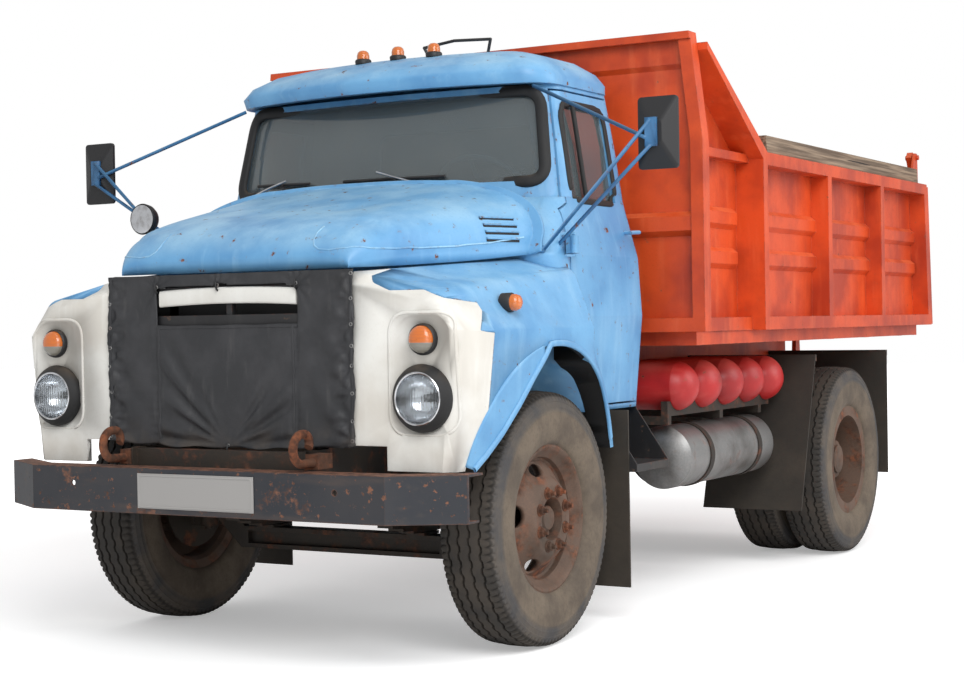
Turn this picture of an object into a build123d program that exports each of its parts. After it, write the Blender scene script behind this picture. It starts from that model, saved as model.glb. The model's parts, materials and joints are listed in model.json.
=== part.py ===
"""Bonneted two-axle dump truck: blue cab on a ladder frame, orange steel tipping bed."""

import os
from math import cos, radians, sin

from build123d import *

os.makedirs("parts", exist_ok=True)

# Stations are in millimetres: X to the truck's left, Y to its rear from the front axle, Z up
# from the ground. The finished pieces are moved by ORIGIN_Y, so that the origin lies on the
# ground below the middle of the truck.
WHEELBASE = 3300
ORIGIN_Y = 1862

# Fits and gaps
FIT = 0.3          # between a pin or shaft and its bore, and between seated curved faces
DOOR_GAP = 8       # seam round a door or the bonnet
CLEAR = 6          # least room beside a moving piece

# Wheels and tyres
TYRE_RADIUS = 520
TYRE_WIDTH = 262
TREAD_WIDTH = 204
BEAD_RADIUS = 256
FLANGE_RADIUS = 300
RIM_WIDTH = 200
RIM_WALL = 11
DISC_WALL = 13
FRONT_TRACK = 1800
REAR_TRACK = 1790
TWIN_SPACING = 300
HAND_HOLES = 6
HAND_HOLE_RADIUS = 29
HUB_RADIUS = 92
REAR_HUB_RADIUS = 104
DRUM_RADIUS = 205
SPINDLE_RADIUS = 30
REAR_SPINDLE_RADIUS = 45

# Front axle and steering
KINGPIN_X = 755
KINGPIN_RADIUS = 18
AXLE_EYE_RADIUS = 44
AXLE_EYE_HEIGHT = 110
BEAM_BOTTOM = 335
BEAM_HEIGHT = 95
STEER_ARM = 165
FRONT_SPRING_X = 392
REAR_SPRING_X = 497

# Ladder frame
RAIL_HALF = 432
RAIL_FLANGE = 80
RAIL_WALL = 8
RAIL_BOTTOM = 700
RAIL_TOP = 920
RAIL_FRONT = -885
RAIL_REAR = WHEELBASE + 1050
SUBFRAME_TOP = 1030
SUBFRAME_FRONT = 1250

# Front bumper
BUMPER_FRONT = -1000
BUMPER_HALF = 1120
BUMPER_BOTTOM = 590
BUMPER_TOP = 770
BUMPER_DEPTH = 108
BUMPER_BEND = 860
BUMPER_SWEEP = 155
BUMPER_HOLE_X = 640
BUMPER_HOLE_Z = 702
BUMPER_HOLE_RADIUS = 11

# Cab
CAB_WALL = 34
CAB_FLOOR = 930
CAB_REAR = 1020
BELT = 1850
DOOR_HINGE_Y = 256
DOOR_FRONT = 268
DOOR_REAR = 952
DOOR_BOTTOM = 958
DOOR_TOP = 2318
DOOR_THICKNESS = 44
GLASS = 8
BONNET_HINGE_X = 430
BONNET_HINGE_Y = 172
BONNET_HINGE_Z = 1958
BONNET_PIN = 7

# Bonnet and wings
BONNET_SHEET = 18
WING_SHEET = 26
WING_REAR = 236
ARCH_Y = -110
ARCH_Z = 600
ARCH_RADIUS = 630
ARCH_LIP = 50      # width of the wing's lip behind the door's front edge
SILL_RADIUS = 736  # round the arch's centre, where the door's lower front corner is cut away

# Tipping bed
BED_HALF = 1228
BED_FRONT = 1100
BED_CORNER = 1850
BED_REAR = WHEELBASE + 1325
BED_LEAN = 70      # how far the rear edge's foot stands behind its head
SHEET = 22
SKIN_HALF = 1130   # outer face of the side sheets
BED_BOTTOM = 1262
FLOOR_TOP = 1300
RAIL_CAP = 2132
HEAD_TOP = 2625
HEAD_TAPER = 55    # how far the headboard's top corners stand in from its foot
POST_WIDTH = 58
TIP_Y = WHEELBASE + 990
TIP_Z = 1060
TIP_PIN = 22

# Hoist
RAM_Y = 2450
RAM_Z = 725
RAM_EYE_Y = 3550
RAM_EYE_Z = 1142


def box(x0, x1, y0, y1, z0, z1):
    """Block between two opposite corners."""
    return Pos((x0 + x1) / 2, (y0 + y1) / 2, (z0 + z1) / 2) * Box(x1 - x0, y1 - y0, z1 - z0)


def rod(start, end, radius):
    """Round bar between two points."""
    axis = Vector(*end) - Vector(*start)
    plane = Plane(origin=start, z_dir=axis)
    return extrude(plane * Circle(radius), amount=axis.length)


PLACE = {
    "x": lambda u, v, at: (at, u, v),
    "y": lambda u, v, at: (u, at, v),
    "z": lambda u, v, at: (u, v, at),
}
WAY = {"x": (1, 0, 0), "y": (0, 1, 0), "z": (0, 0, 1)}


def prism(outline, axis, low, high, radius=0):
    """Extrusion of a 2-D outline along an axis, with rounded corners where a radius is given."""
    points = [PLACE[axis](u, v, low) for u, v in outline]
    if radius:
        line = FilletPolyline(*points, radius=radius, close=True)
    else:
        line = Polyline(*points, close=True)
    return extrude(make_face(line), amount=high - low, dir=WAY[axis])


def turned(outline, y, z, x=0):
    """Solid turned about a crosswise axis from (offset along X, radius) points."""
    points = [(x + u, y, z + r) for u, r in outline]
    return revolve(make_face(Polyline(*points, close=True)), axis=Axis((0, y, z), (1, 0, 0)))


def other_side(shape):
    """Mirror image on the truck's other side."""
    return mirror(shape, about=Plane.YZ)


def pair(shape):
    """A piece and its mirror image, as separate solids."""
    return [shape, other_side(shape)]


def fuse(shapes):
    """One solid from touching pieces."""
    shapes = list(shapes)
    return shapes[0].fuse(*shapes[1:]) if len(shapes) > 1 else shapes[0]


def solids_of(shapes):
    """Every solid in a shape or a list of shapes."""
    if isinstance(shapes, (list, tuple)):
        return [solid for shape in shapes for solid in solids_of(shape)]
    return list(shapes.solids())


def save(name, *shapes):
    """Writes one sub-part, moved so that the origin lies under the truck's middle."""
    solids = solids_of(list(shapes))
    part = solids[0] if len(solids) == 1 else Compound(children=solids)
    export_step(part.moved(Location((0, -ORIGIN_Y, 0))), f"parts/{name}.step")


# Wheels

def tyre(x, y):
    """Tyre with round sidewalls and a slightly crowned tread."""
    half = TYRE_WIDTH / 2
    tread = TREAD_WIDTH / 2
    bead = RIM_WIDTH / 2 - RIM_WALL - FIT
    flank = FLANGE_RADIUS + 3
    shoulder = TYRE_RADIUS - 30
    middle = (flank + shoulder) / 2
    z = TYRE_RADIUS

    def at(u, r):
        return (x + u, y, z + r)

    outline = (
        Polyline(at(-bead, BEAD_RADIUS + FIT), at(-bead, flank), at(-bead - 14, flank))
        + ThreePointArc(at(-bead - 14, flank), at(-half, middle), at(-half + 17, shoulder))
        + Line(at(-half + 17, shoulder), at(-tread, TYRE_RADIUS - 8))
        + ThreePointArc(at(-tread, TYRE_RADIUS - 8), at(0, TYRE_RADIUS), at(tread, TYRE_RADIUS - 8))
        + Line(at(tread, TYRE_RADIUS - 8), at(half - 17, shoulder))
        + ThreePointArc(at(half - 17, shoulder), at(half, middle), at(bead + 14, flank))
        + Polyline(at(bead + 14, flank), at(bead, flank), at(bead, BEAD_RADIUS + FIT),
                   at(-bead, BEAD_RADIUS + FIT))
    )
    return revolve(make_face(outline), axis=Axis((0, y, z), (1, 0, 0)))


def rim(x, y, disc):
    """Rim with its flanges and a dished disc, given as (offset, radius) points, with hand holes."""
    half = RIM_WIDTH / 2
    inner = BEAD_RADIUS - RIM_WALL
    barrel = [
        (-half, FLANGE_RADIUS), (-half + RIM_WALL, FLANGE_RADIUS), (-half + RIM_WALL, BEAD_RADIUS),
        (half - RIM_WALL, BEAD_RADIUS), (half - RIM_WALL, FLANGE_RADIUS), (half, FLANGE_RADIUS),
        (half, inner), (-half, inner),
    ]
    wheel = turned(barrel, y, TYRE_RADIUS, x) + turned(disc, y, TYRE_RADIUS, x)
    hole_at = (disc[1][1] + disc[2][1]) / 2
    low = min(u for u, _ in disc) + x - 5
    high = max(u for u, _ in disc) + x + 5
    for step in range(HAND_HOLES):
        angle = radians(360 / HAND_HOLES * (step + 0.5))
        centre = (low, y + hole_at * cos(angle), TYRE_RADIUS + hole_at * sin(angle))
        plane = Plane(origin=centre, x_dir=(0, -sin(angle), cos(angle)), z_dir=(1, 0, 0))
        slot = plane * SlotOverall(3.1 * HAND_HOLE_RADIUS, 2 * HAND_HOLE_RADIUS)
        wheel -= extrude(slot, amount=high - low)
    return wheel


FRONT_WHEEL_X = FRONT_TRACK / 2
TWIN_INNER_X = REAR_TRACK / 2 - TWIN_SPACING / 2
TWIN_OUTER_X = REAR_TRACK / 2 + TWIN_SPACING / 2
TWIN_MOUNT_X = REAR_TRACK / 2 + 42
DISC_EDGE = BEAD_RADIUS - RIM_WALL
FRONT_MOUNT = 108


def dished(edge, mount, hub):
    """Disc outline from the rim's barrel in to the hub: (offset, radius) of both faces."""
    step = (mount - edge) / 2
    return [
        (edge, DISC_EDGE + 1), (edge + 0.3 * step, 222), (mount - 0.35 * step, 158), (mount, 140),
        (mount, hub), (mount + DISC_WALL, hub), (mount + DISC_WALL, 143),
        (mount + DISC_WALL - 0.35 * step, 164), (edge + DISC_WALL + 0.3 * step, 227),
        (edge + DISC_WALL, DISC_EDGE + 1),
    ]


front_rim = rim(FRONT_WHEEL_X, 0, dished(40, FRONT_MOUNT - DISC_WALL, HUB_RADIUS + FIT))
front_tyre = tyre(FRONT_WHEEL_X, 0)
rear_tyres = [tyre(x, WHEELBASE) for x in (TWIN_INNER_X, TWIN_OUTER_X)]
mount_inner = TWIN_MOUNT_X - TWIN_INNER_X - DISC_WALL - FIT
mount_outer = TWIN_MOUNT_X - TWIN_OUTER_X
rear_rims = [
    rim(TWIN_INNER_X, WHEELBASE, dished(62, mount_inner, REAR_HUB_RADIUS + FIT)),
    rim(TWIN_OUTER_X, WHEELBASE, dished(-62, mount_outer, REAR_HUB_RADIUS + FIT)),
]

# Hubs and drums: (x, radius) profiles bored for their spindles
front_disc_x = FRONT_WHEEL_X + FRONT_MOUNT - DISC_WALL
front_hub = turned([
    (842, SPINDLE_RADIUS + FIT), (842, DRUM_RADIUS), (918, DRUM_RADIUS), (918, 130),
    (front_disc_x - FIT, 130), (front_disc_x - FIT, HUB_RADIUS), (1024, HUB_RADIUS), (1030, 70),
    (1052, 62), (1056, 50), (1056, 0), (975, 0), (975, SPINDLE_RADIUS + FIT),
], 0, TYRE_RADIUS)
rear_hub = turned([
    (632, REAR_SPINDLE_RADIUS + FIT), (632, DRUM_RADIUS + 5), (800, DRUM_RADIUS + 5), (806, 135),
    (TWIN_MOUNT_X - DISC_WALL - 2 * FIT, 135), (TWIN_MOUNT_X - DISC_WALL - 2 * FIT, REAR_HUB_RADIUS),
    (1072, REAR_HUB_RADIUS), (1078, 78), (1090, 78), (1096, 60), (1096, 0), (1050, 0),
    (1050, REAR_SPINDLE_RADIUS + FIT),
], WHEELBASE, TYRE_RADIUS)

for side, turn in (("left", lambda s: s), ("right", other_side)):
    save(f"tyre_front_{side}", turn(front_tyre))
    save(f"rim_front_{side}", turn(front_rim), turn(front_hub))
    save(f"tyres_rear_{side}", *[turn(t) for t in rear_tyres])
    save(f"rims_rear_{side}", *[turn(r) for r in rear_rims], turn(rear_hub))

# Front axle: drop-centre I-beam with a kingpin eye at each end
beam_top = BEAM_BOTTOM + BEAM_HEIGHT
eye_low = TYRE_RADIUS - AXLE_EYE_HEIGHT / 2
eye_high = TYRE_RADIUS + AXLE_EYE_HEIGHT / 2
half_beam = [
    (540, BEAM_BOTTOM), (690, eye_low + 12), (KINGPIN_X, eye_low + 12),
    (KINGPIN_X, eye_high - 12), (670, eye_high - 12), (520, beam_top),
]
beam_outline = half_beam + [(-x, z) for x, z in reversed(half_beam)]
front_axle = prism(beam_outline, "y", -42, 42)
web_cut = prism([(-500, BEAM_BOTTOM + 20), (500, BEAM_BOTTOM + 20), (500, beam_top - 20),
                 (-500, beam_top - 20)], "y", 12, 43)
front_axle -= web_cut
front_axle -= mirror(web_cut, about=Plane.XZ)
for side in (1, -1):
    front_axle += rod((side * KINGPIN_X, 0, eye_low), (side * KINGPIN_X, 0, eye_high), AXLE_EYE_RADIUS)
for side in (1, -1):
    front_axle -= rod((side * KINGPIN_X, 0, eye_low - 1), (side * KINGPIN_X, 0, eye_high + 1),
                      KINGPIN_RADIUS + FIT)
    pad = box(side * FRONT_SPRING_X - 45, side * FRONT_SPRING_X + 45, -60, 60, beam_top, beam_top + 12)
    front_axle += pad
save("front_axle", front_axle)

# Steering knuckles: forked round the axle's eye, with the spindle, backing plate and track arm
lug = 42
knuckle = fuse([
    rod((KINGPIN_X, 0, eye_low - CLEAR / 2 - lug), (KINGPIN_X, 0, eye_low - CLEAR / 2), AXLE_EYE_RADIUS),
    rod((KINGPIN_X, 0, eye_high + CLEAR / 2), (KINGPIN_X, 0, eye_high + CLEAR / 2 + lug), AXLE_EYE_RADIUS),
    box(KINGPIN_X, 832, -40, 40, eye_low - CLEAR / 2 - lug, eye_low - CLEAR / 2),
    box(KINGPIN_X, 832, -40, 40, eye_high + CLEAR / 2, eye_high + CLEAR / 2 + lug),
    box(KINGPIN_X + AXLE_EYE_RADIUS + CLEAR, 832, -48, 48, eye_low - 30, eye_high + 30),
    rod((820, 0, TYRE_RADIUS), (968, 0, TYRE_RADIUS), SPINDLE_RADIUS),
    rod((826, 0, TYRE_RADIUS), (836, 0, TYRE_RADIUS), DRUM_RADIUS - 5),
    rod((KINGPIN_X, 0, eye_low - 60), (KINGPIN_X, 0, eye_high + 60), KINGPIN_RADIUS),
    prism([(KINGPIN_X - 20, 30), (KINGPIN_X + 30, 30), (KINGPIN_X - 62, STEER_ARM + 20),
           (KINGPIN_X - 100, STEER_ARM + 20)], "z", eye_low - CLEAR / 2 - lug, eye_low - 24, radius=12),
])
save("knuckle_left", knuckle)
save("knuckle_right", other_side(knuckle))

# Track rod between the knuckles' arms
arm_x = KINGPIN_X - 80
arm_z = eye_low - CLEAR / 2 - lug
track_rod = rod((-arm_x - 14, STEER_ARM, arm_z - 28), (arm_x + 14, STEER_ARM, arm_z - 28), 20)
save("track_rod", track_rod)


def leaf_pack(x, y, low_z, half_length, sag, count, leaf, width):
    """Leaf spring: stacked curved leaves, the longest on top with an eye at each end."""
    radius = (half_length ** 2 + sag ** 2) / (2 * sag)
    top_z = low_z + count * leaf
    pack = []
    for index in range(count):
        reach = half_length * (1 - index / (count + 0.6))
        inner = radius + index * leaf
        outer = inner + leaf
        centre = top_z + radius
        drop_in = (inner ** 2 - reach ** 2) ** 0.5
        drop_out = (outer ** 2 - reach ** 2) ** 0.5
        face = make_face(
            ThreePointArc((x, y - reach, centre - drop_in), (x, y, centre - inner),
                          (x, y + reach, centre - drop_in))
            + Line((x, y + reach, centre - drop_in), (x, y + reach, centre - drop_out))
            + ThreePointArc((x, y + reach, centre - drop_out), (x, y, centre - outer),
                            (x, y - reach, centre - drop_out))
            + Line((x, y - reach, centre - drop_out), (x, y - reach, centre - drop_in))
        )
        pack.append(extrude(face, amount=width, dir=(1, 0, 0)).moved(Location((-width / 2, 0, 0))))
    end_z = top_z + sag
    for way in (-1, 1):
        eye_y = y + way * half_length
        pack.append(rod((x - width / 2, eye_y, end_z), (x + width / 2, eye_y, end_z), SPRING_EYE))
    return fuse(pack), top_z


SPRING_EYE = 24
FRONT_LEAF_HALF = 690
REAR_LEAF_HALF = 720
spring_low = beam_top + 12 + FIT
front_spring, front_spring_top = leaf_pack(
    FRONT_SPRING_X, 0, spring_low, FRONT_LEAF_HALF, 122, 8, 11, 74)
rear_tube_top = TYRE_RADIUS + 68
rear_spring, rear_spring_top = leaf_pack(
    REAR_SPRING_X, WHEELBASE, rear_tube_top + 14 + FIT, REAR_LEAF_HALF, 100, 9, 12, 84)
save("springs", *pair(front_spring), *pair(rear_spring))

# Rear axle: tubes with a round drive housing, spring seats and spindles
rear_axle = fuse([
    rod((-622, WHEELBASE, TYRE_RADIUS), (622, WHEELBASE, TYRE_RADIUS), 68),
    rod((-1040, WHEELBASE, TYRE_RADIUS), (1040, WHEELBASE, TYRE_RADIUS), REAR_SPINDLE_RADIUS),
    Pos(0, WHEELBASE, TYRE_RADIUS) * Sphere(188),
    rod((0, WHEELBASE - 300, TYRE_RADIUS + 15), (0, WHEELBASE - 100, TYRE_RADIUS + 15), 80),
    rod((605, WHEELBASE, TYRE_RADIUS), (618, WHEELBASE, TYRE_RADIUS), DRUM_RADIUS),
    rod((-618, WHEELBASE, TYRE_RADIUS), (-605, WHEELBASE, TYRE_RADIUS), DRUM_RADIUS),
    *pair(box(REAR_SPRING_X - 46, REAR_SPRING_X + 46, WHEELBASE - 60, WHEELBASE + 60,
              TYRE_RADIUS, rear_tube_top + 14)),
])
save("rear_axle", rear_axle)

# Engine and gearbox: closed masses
GEARBOX_REAR = 900
engine = fuse([
    box(-240, 240, -560, 120, 790, 1290),
    box(-170, 170, -540, 90, 560, 790),
    rod((0, 120, 720), (0, 330, 720), 178),
    box(-140, 140, 330, GEARBOX_REAR, 640, 890),
])
save("engine", engine)
SHAFT_Z = 700
nose_z = TYRE_RADIUS + 15
shaft_front = GEARBOX_REAR + FIT
shaft_rear = WHEELBASE - 300 - FIT
save("propshaft", fuse([
    rod((0, shaft_front, SHAFT_Z), (0, shaft_front + 36, SHAFT_Z), 58),
    rod((0, shaft_rear - 36, nose_z), (0, shaft_rear, nose_z), 58),
    rod((0, shaft_front + 18, SHAFT_Z), (0, shaft_rear - 18, nose_z), 42),
]))

# Ladder frame: two channel rails, cross-members, spring and hinge brackets


def channel_rail(side_x, low, high, front, rear, flange, wall):
    """Channel with its open side towards the truck's middle."""
    outer = box(side_x - flange, side_x, front, rear, low, high)
    return outer - box(side_x - flange - 1, side_x - wall, front - 1, rear + 1, low + wall, high - wall)


rail = channel_rail(RAIL_HALF, RAIL_BOTTOM, RAIL_TOP, RAIL_FRONT, RAIL_REAR, RAIL_FLANGE, RAIL_WALL)
HORN_TOP = 842     # the rails' front ends step down below the grille
rail -= prism([(RAIL_FRONT - 1, HORN_TOP), (-735, HORN_TOP), (-640, RAIL_TOP + 1), (RAIL_FRONT - 1, RAIL_TOP + 1)],
              "x", RAIL_HALF - 200, RAIL_HALF + 1)
inside = RAIL_HALF - RAIL_WALL
CROSS_MEMBERS = (
    # front, rear, low, high
    (-860, -800, 715, 835),
    (300 + 660, 1040, 790, 900),
    (1430, 1500, 760, 900),
    (RAM_Y - 170, RAM_Y - 60, 715, 900),
    (WHEELBASE + 460, WHEELBASE + 530, 730, 900),
    (TIP_Y - 40, TIP_Y + 40, 720, 905),
)
frame = [rail, other_side(rail)]
for front, rear, low, high in CROSS_MEMBERS:
    frame.append(box(-inside, inside, front, rear, low, high))


def spring_hanger(x, y, eye_z, top, width):
    """Hanger block over a spring's eye, with a round seat for it."""
    block = box(x - width / 2, x + width / 2, y - 40, y + 40, eye_z, top)
    return block - rod((x - width, y, eye_z), (x + width, y, eye_z), SPRING_EYE + FIT)


front_eye_z = front_spring_top + 122
rear_eye_z = rear_spring_top + 100
for way in (-1, 1):
    frame += pair(spring_hanger(FRONT_SPRING_X, way * FRONT_LEAF_HALF, front_eye_z, RAIL_BOTTOM, 78))
    hanger_y = WHEELBASE + way * REAR_LEAF_HALF
    frame += pair(spring_hanger(REAR_SPRING_X, hanger_y, rear_eye_z, RAIL_TOP - 50, 90))
    frame += pair(box(RAIL_HALF, REAR_SPRING_X - 40, hanger_y - 40, hanger_y + 40, RAIL_TOP - 82, RAIL_TOP - 50))

# Ram bracket with its pin
for side in (-1, 1):
    frame.append(box(side * 72 - 12, side * 72 + 12, RAM_Y - 60, RAM_Y + 45, RAM_Z - 45, RAM_Z + 60))
frame.append(rod((-84, RAM_Y, RAM_Z), (84, RAM_Y, RAM_Z), TIP_PIN))

# Tipping hinge brackets with their pins
HINGE_X = 470
for side in (1, -1):
    plate = prism([(TIP_Y - 90, RAIL_BOTTOM + 60), (TIP_Y + 55, RAIL_BOTTOM + 60), (TIP_Y + 45, TIP_Z + 40),
                   (TIP_Y - 45, TIP_Z + 40)], "x", RAIL_HALF, RAIL_HALF + 20, radius=18)
    pin = rod((RAIL_HALF + 10, TIP_Y, TIP_Z), (HINGE_X + 50, TIP_Y, TIP_Z), TIP_PIN)
    bracket = plate + pin
    frame.append(bracket if side == 1 else other_side(bracket))
save("frame", fuse(frame))

# Sub-frame on the rails
subframe = box(RAIL_HALF - 70, RAIL_HALF - 6, SUBFRAME_FRONT, TIP_Y - 60, RAIL_TOP + FIT, SUBFRAME_TOP)
save("subframe", *pair(subframe))

# Front bumper: channel with swept ends and two bolt holes


def bumper_path(inset):
    """Plan outline points of one face of the bumper, set back by an inset."""
    y_mid = BUMPER_FRONT + inset
    y_end = y_mid + BUMPER_SWEEP
    return [(-BUMPER_HALF, y_end), (-BUMPER_BEND, y_mid), (BUMPER_BEND, y_mid), (BUMPER_HALF, y_end)]


def bumper_band(front, back, low, high):
    """Band between two insets of the bumper's plan outline."""
    outline = bumper_path(front) + list(reversed(bumper_path(back)))
    return prism(outline, "z", low, high)


BUMPER_SHEET = 9
bumper = fuse([
    bumper_band(0, BUMPER_SHEET, BUMPER_BOTTOM, BUMPER_TOP),
    bumper_band(0, BUMPER_DEPTH, BUMPER_TOP - BUMPER_SHEET, BUMPER_TOP),
    bumper_band(0, BUMPER_DEPTH - 30, BUMPER_BOTTOM, BUMPER_BOTTOM + BUMPER_SHEET),
    *pair(box(RAIL_HALF - 36, RAIL_HALF, BUMPER_FRONT + 5, RAIL_FRONT - FIT, 640, BUMPER_TOP - 5)),
])
for x in (-BUMPER_HOLE_X, BUMPER_HOLE_X):
    bumper -= rod((x, BUMPER_FRONT - 5, BUMPER_HOLE_Z), (x, BUMPER_FRONT + 30, BUMPER_HOLE_Z), BUMPER_HOLE_RADIUS)
save("bumper", bumper)

# Tow hooks on the rails' front ends
HOOK_X = 466
HOOK_BAR = 17
hook_path = Polyline((HOOK_X, -888, 800), (HOOK_X, -960, 800))
hook_arc = ThreePointArc((HOOK_X, -960, 800), (HOOK_X, -1012, 862), (HOOK_X, -950, 912))
hook_tip = ThreePointArc((HOOK_X, -950, 912), (HOOK_X, -912, 890), (HOOK_X, -915, 860))
hook_line = hook_path + hook_arc + hook_tip
hook = sweep(Plane(origin=(HOOK_X, -888, 800), z_dir=(0, -1, 0)) * Circle(HOOK_BAR), path=hook_line)
hook_plate = box(RAIL_HALF + FIT, HOOK_X + 22, -888, -790, BUMPER_TOP + 4, 832)
save("tow_hooks", *pair(hook + hook_plate))

# Cab shell: horizontal sections lofted, then hollowed
CAB_LEVELS = (
    # height, half width, front at the side, front at the middle, rear
    (CAB_FLOOR, 952, 216, 180, CAB_REAR - 10),
    (1340, 985, 205, 160, CAB_REAR),
    (1600, 968, 60, 20, CAB_REAR),
    (BELT, 900, 330, 130, CAB_REAR - 4),
)
GLASS_LEVELS = (
    (BELT, 900, 372, 216, CAB_REAR - 4),
    (2100, 862, 402, 288, CAB_REAR - 8),
    (2345, 818, 430, 360, CAB_REAR - 14),
)
ROOF_LEVELS = (
    (2345, 826, 372, 222, CAB_REAR - 6),
    (2385, 826, 352, 198, CAB_REAR - 6),
    (2434, 790, 372, 232, CAB_REAR - 22),
    (2486, 712, 446, 332, CAB_REAR - 72),
    (2522, 590, 552, 460, CAB_REAR - 150),
    (2536, 430, 600, 540, CAB_REAR - 240),
)


def level_face(level, inset, corner_front, corner_rear):
    """Closed plan outline of the cab at one height: bowed front, straight sides and rear."""
    z, half, front_side, front_mid, rear = level
    half, front_side, front_mid, rear = half - inset, front_side + inset, front_mid + inset, rear - inset
    outline = ThreePointArc((half, front_side, z), (0, front_mid, z), (-half, front_side, z)) + Polyline(
        (-half, front_side, z), (-half, rear, z), (half, rear, z), (half, front_side, z))
    face = make_face(outline)
    most = 0.4 * (rear - front_side)
    corner_front, corner_rear = min(corner_front - inset, most), min(corner_rear - inset, most)
    face = fillet(face.vertices().group_by(Axis.Y)[-1], corner_rear)
    front = [v for v in face.vertices() if abs(v.Y - front_side) < 0.5 and abs(abs(v.X) - half) < 0.5]
    return fillet(front, corner_front)


def shell(levels, inset, corner_front=110, corner_rear=90, lift_low=0, lift_high=0):
    """Loft through the cab's levels; the lifts move its lowest and highest section."""
    faces = []
    for index, level in enumerate(levels):
        z = level[0]
        z += lift_low if index == 0 else 0
        z += lift_high if index == len(levels) - 1 else 0
        faces.append(level_face((z, *level[1:]), inset, corner_front, corner_rear))
    return loft(faces, ruled=True)


lower_outer = shell(CAB_LEVELS, 0)
lower_inner = shell(CAB_LEVELS, CAB_WALL, lift_low=CAB_WALL)
upper_outer = shell(GLASS_LEVELS, 0)
upper_inner = shell(GLASS_LEVELS, CAB_WALL, lift_high=1)
cab_outer = lower_outer + upper_outer

# The bonnet's rear seam is a slanting plane; the cowl stands a door gap behind it
SEAM_LOW = (45, 1590)
SEAM_SLOPE = (150 - 45) / (1935 - 1590)


def seam_y(z):
    """Where the bonnet's rear edge lies at a height."""
    return SEAM_LOW[0] + SEAM_SLOPE * (z - SEAM_LOW[1])


def ahead_of_seam(gap, low=1400, high=2100):
    """Everything ahead of the seam plane, shifted back by a gap."""
    return prism([(-1200, low), (seam_y(low) + gap, low), (seam_y(high) + gap, high), (-1200, high)],
                 "x", -1300, 1300)


WELL_X = 470


def wheel_well(radius, x_inner):
    """Round wheel well under the cab's front corner, from a distance off the middle."""
    well = Pos((x_inner + 1300) / 2, ARCH_Y, ARCH_Z) * Rot(0, 90, 0) * Cylinder(radius, 1300 - x_inner)
    return well + other_side(well)


lower_inner -= wheel_well(ARCH_RADIUS + CAB_WALL, WELL_X - CAB_WALL)
cab_inner = lower_inner + upper_inner
cab_walls = cab_outer - cab_inner - wheel_well(ARCH_RADIUS, WELL_X)
cab_walls -= ahead_of_seam(DOOR_GAP, low=1500)

# Windscreen, rear window and door openings
WINDSCREEN = [(-806, 1925), (806, 1925), (748, 2318), (-748, 2318)]
REAR_WINDOW = [(-430, 1900), (430, 1900), (430, 2240), (-430, 2240)]
windscreen_hole = prism(WINDSCREEN, "y", 120, 640, radius=60)
rear_window_hole = prism(REAR_WINDOW, "y", 900, 1100, radius=50)
cab_walls -= windscreen_hole
cab_walls -= rear_window_hole

DOOR_OUTLINE = [
    (DOOR_FRONT, DOOR_BOTTOM), (DOOR_FRONT + 10, 1480), (DOOR_FRONT + 40, 1790), (DOOR_FRONT + 112, 1820),
    (DOOR_FRONT + 182, DOOR_TOP), (DOOR_REAR + 60, DOOR_TOP), (DOOR_REAR + 60, DOOR_BOTTOM),
]
WINDOW_OUTLINE = [(446, 1846), (868, 1846), (868, 2262), (478, 2262)]


def grown(outline, by):
    """Outline pushed out from its middle, used for the opening round a panel."""
    face = make_face(Polyline(*[(u, v) for u, v in outline], close=True))
    bigger = offset(face, amount=by, kind=Kind.INTERSECTION)
    return bigger


def side_block(outline, by, x0, x1):
    """Grown side outline extruded across one side of the cab."""
    face = Plane(origin=(x0, 0, 0), x_dir=(0, 1, 0), z_dir=(1, 0, 0)) * grown(outline, by)
    return extrude(face, amount=x1 - x0)


DOOR_HINGE_X = 1002
door_sweep = DOOR_REAR - DOOR_HINGE_Y
hinge_foot = Pos(DOOR_HINGE_X, DOOR_HINGE_Y, 1650)
door_cutter = side_block(DOOR_OUTLINE, DOOR_GAP, 640, 1100) & (hinge_foot * Cylinder(door_sweep + DOOR_GAP, 1600))
door_blank = side_block(DOOR_OUTLINE, 0, 640, 1100) & (hinge_foot * Cylinder(door_sweep, 1600))
door_core = shell(CAB_LEVELS, DOOR_THICKNESS, lift_low=-1, lift_high=1) + shell(
    GLASS_LEVELS, DOOR_THICKNESS, lift_low=-1, lift_high=1)
window_hole = side_block(WINDOW_OUTLINE, 0, 640, 1100)
arch_corner = Pos(0, ARCH_Y, ARCH_Z) * Rot(0, 90, 0) * Cylinder(SILL_RADIUS, 3000)
opening_corner = Pos(0, ARCH_Y, ARCH_Z) * Rot(0, 90, 0) * Cylinder(SILL_RADIUS - DOOR_GAP, 3000)
door_cutter -= opening_corner
door = (cab_outer & (door_blank - arch_corner)) - door_core - window_hole
cab_walls -= door_cutter
cab_walls -= other_side(door_cutter)

# Cab mounts down to the rails
for y in (330, 900):
    mount_block = box(RAIL_HALF - 75, RAIL_HALF, y, y + 70, RAIL_TOP, CAB_FLOOR + 2)
    cab_walls = cab_walls + mount_block + other_side(mount_block)

# Door hinge pins on the front pillars
HINGE_HEIGHTS = (1300, 1640)
HINGE_PIN = 8
HINGE_BARREL = 14
for side in (1, -1):
    for z in HINGE_HEIGHTS:
        recess = box(DOOR_HINGE_X - 46, DOOR_HINGE_X + 40, DOOR_HINGE_Y - 20, DOOR_HINGE_Y + 54, z - 44, z + 44)
        cab_walls -= recess if side == 1 else other_side(recess)
        pin = rod((DOOR_HINGE_X, DOOR_HINGE_Y, z - 52), (DOOR_HINGE_X, DOOR_HINGE_Y, z + 52), HINGE_PIN)
        ears = fuse([
            box(930, DOOR_HINGE_X + 6, DOOR_HINGE_Y - 9, DOOR_HINGE_Y + 3, z - 52, z - 40),
            box(930, DOOR_HINGE_X + 6, DOOR_HINGE_Y - 9, DOOR_HINGE_Y + 3, z + 40, z + 52),
        ])
        hinge = pin + ears
        cab_walls += hinge if side == 1 else other_side(hinge)

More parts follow.
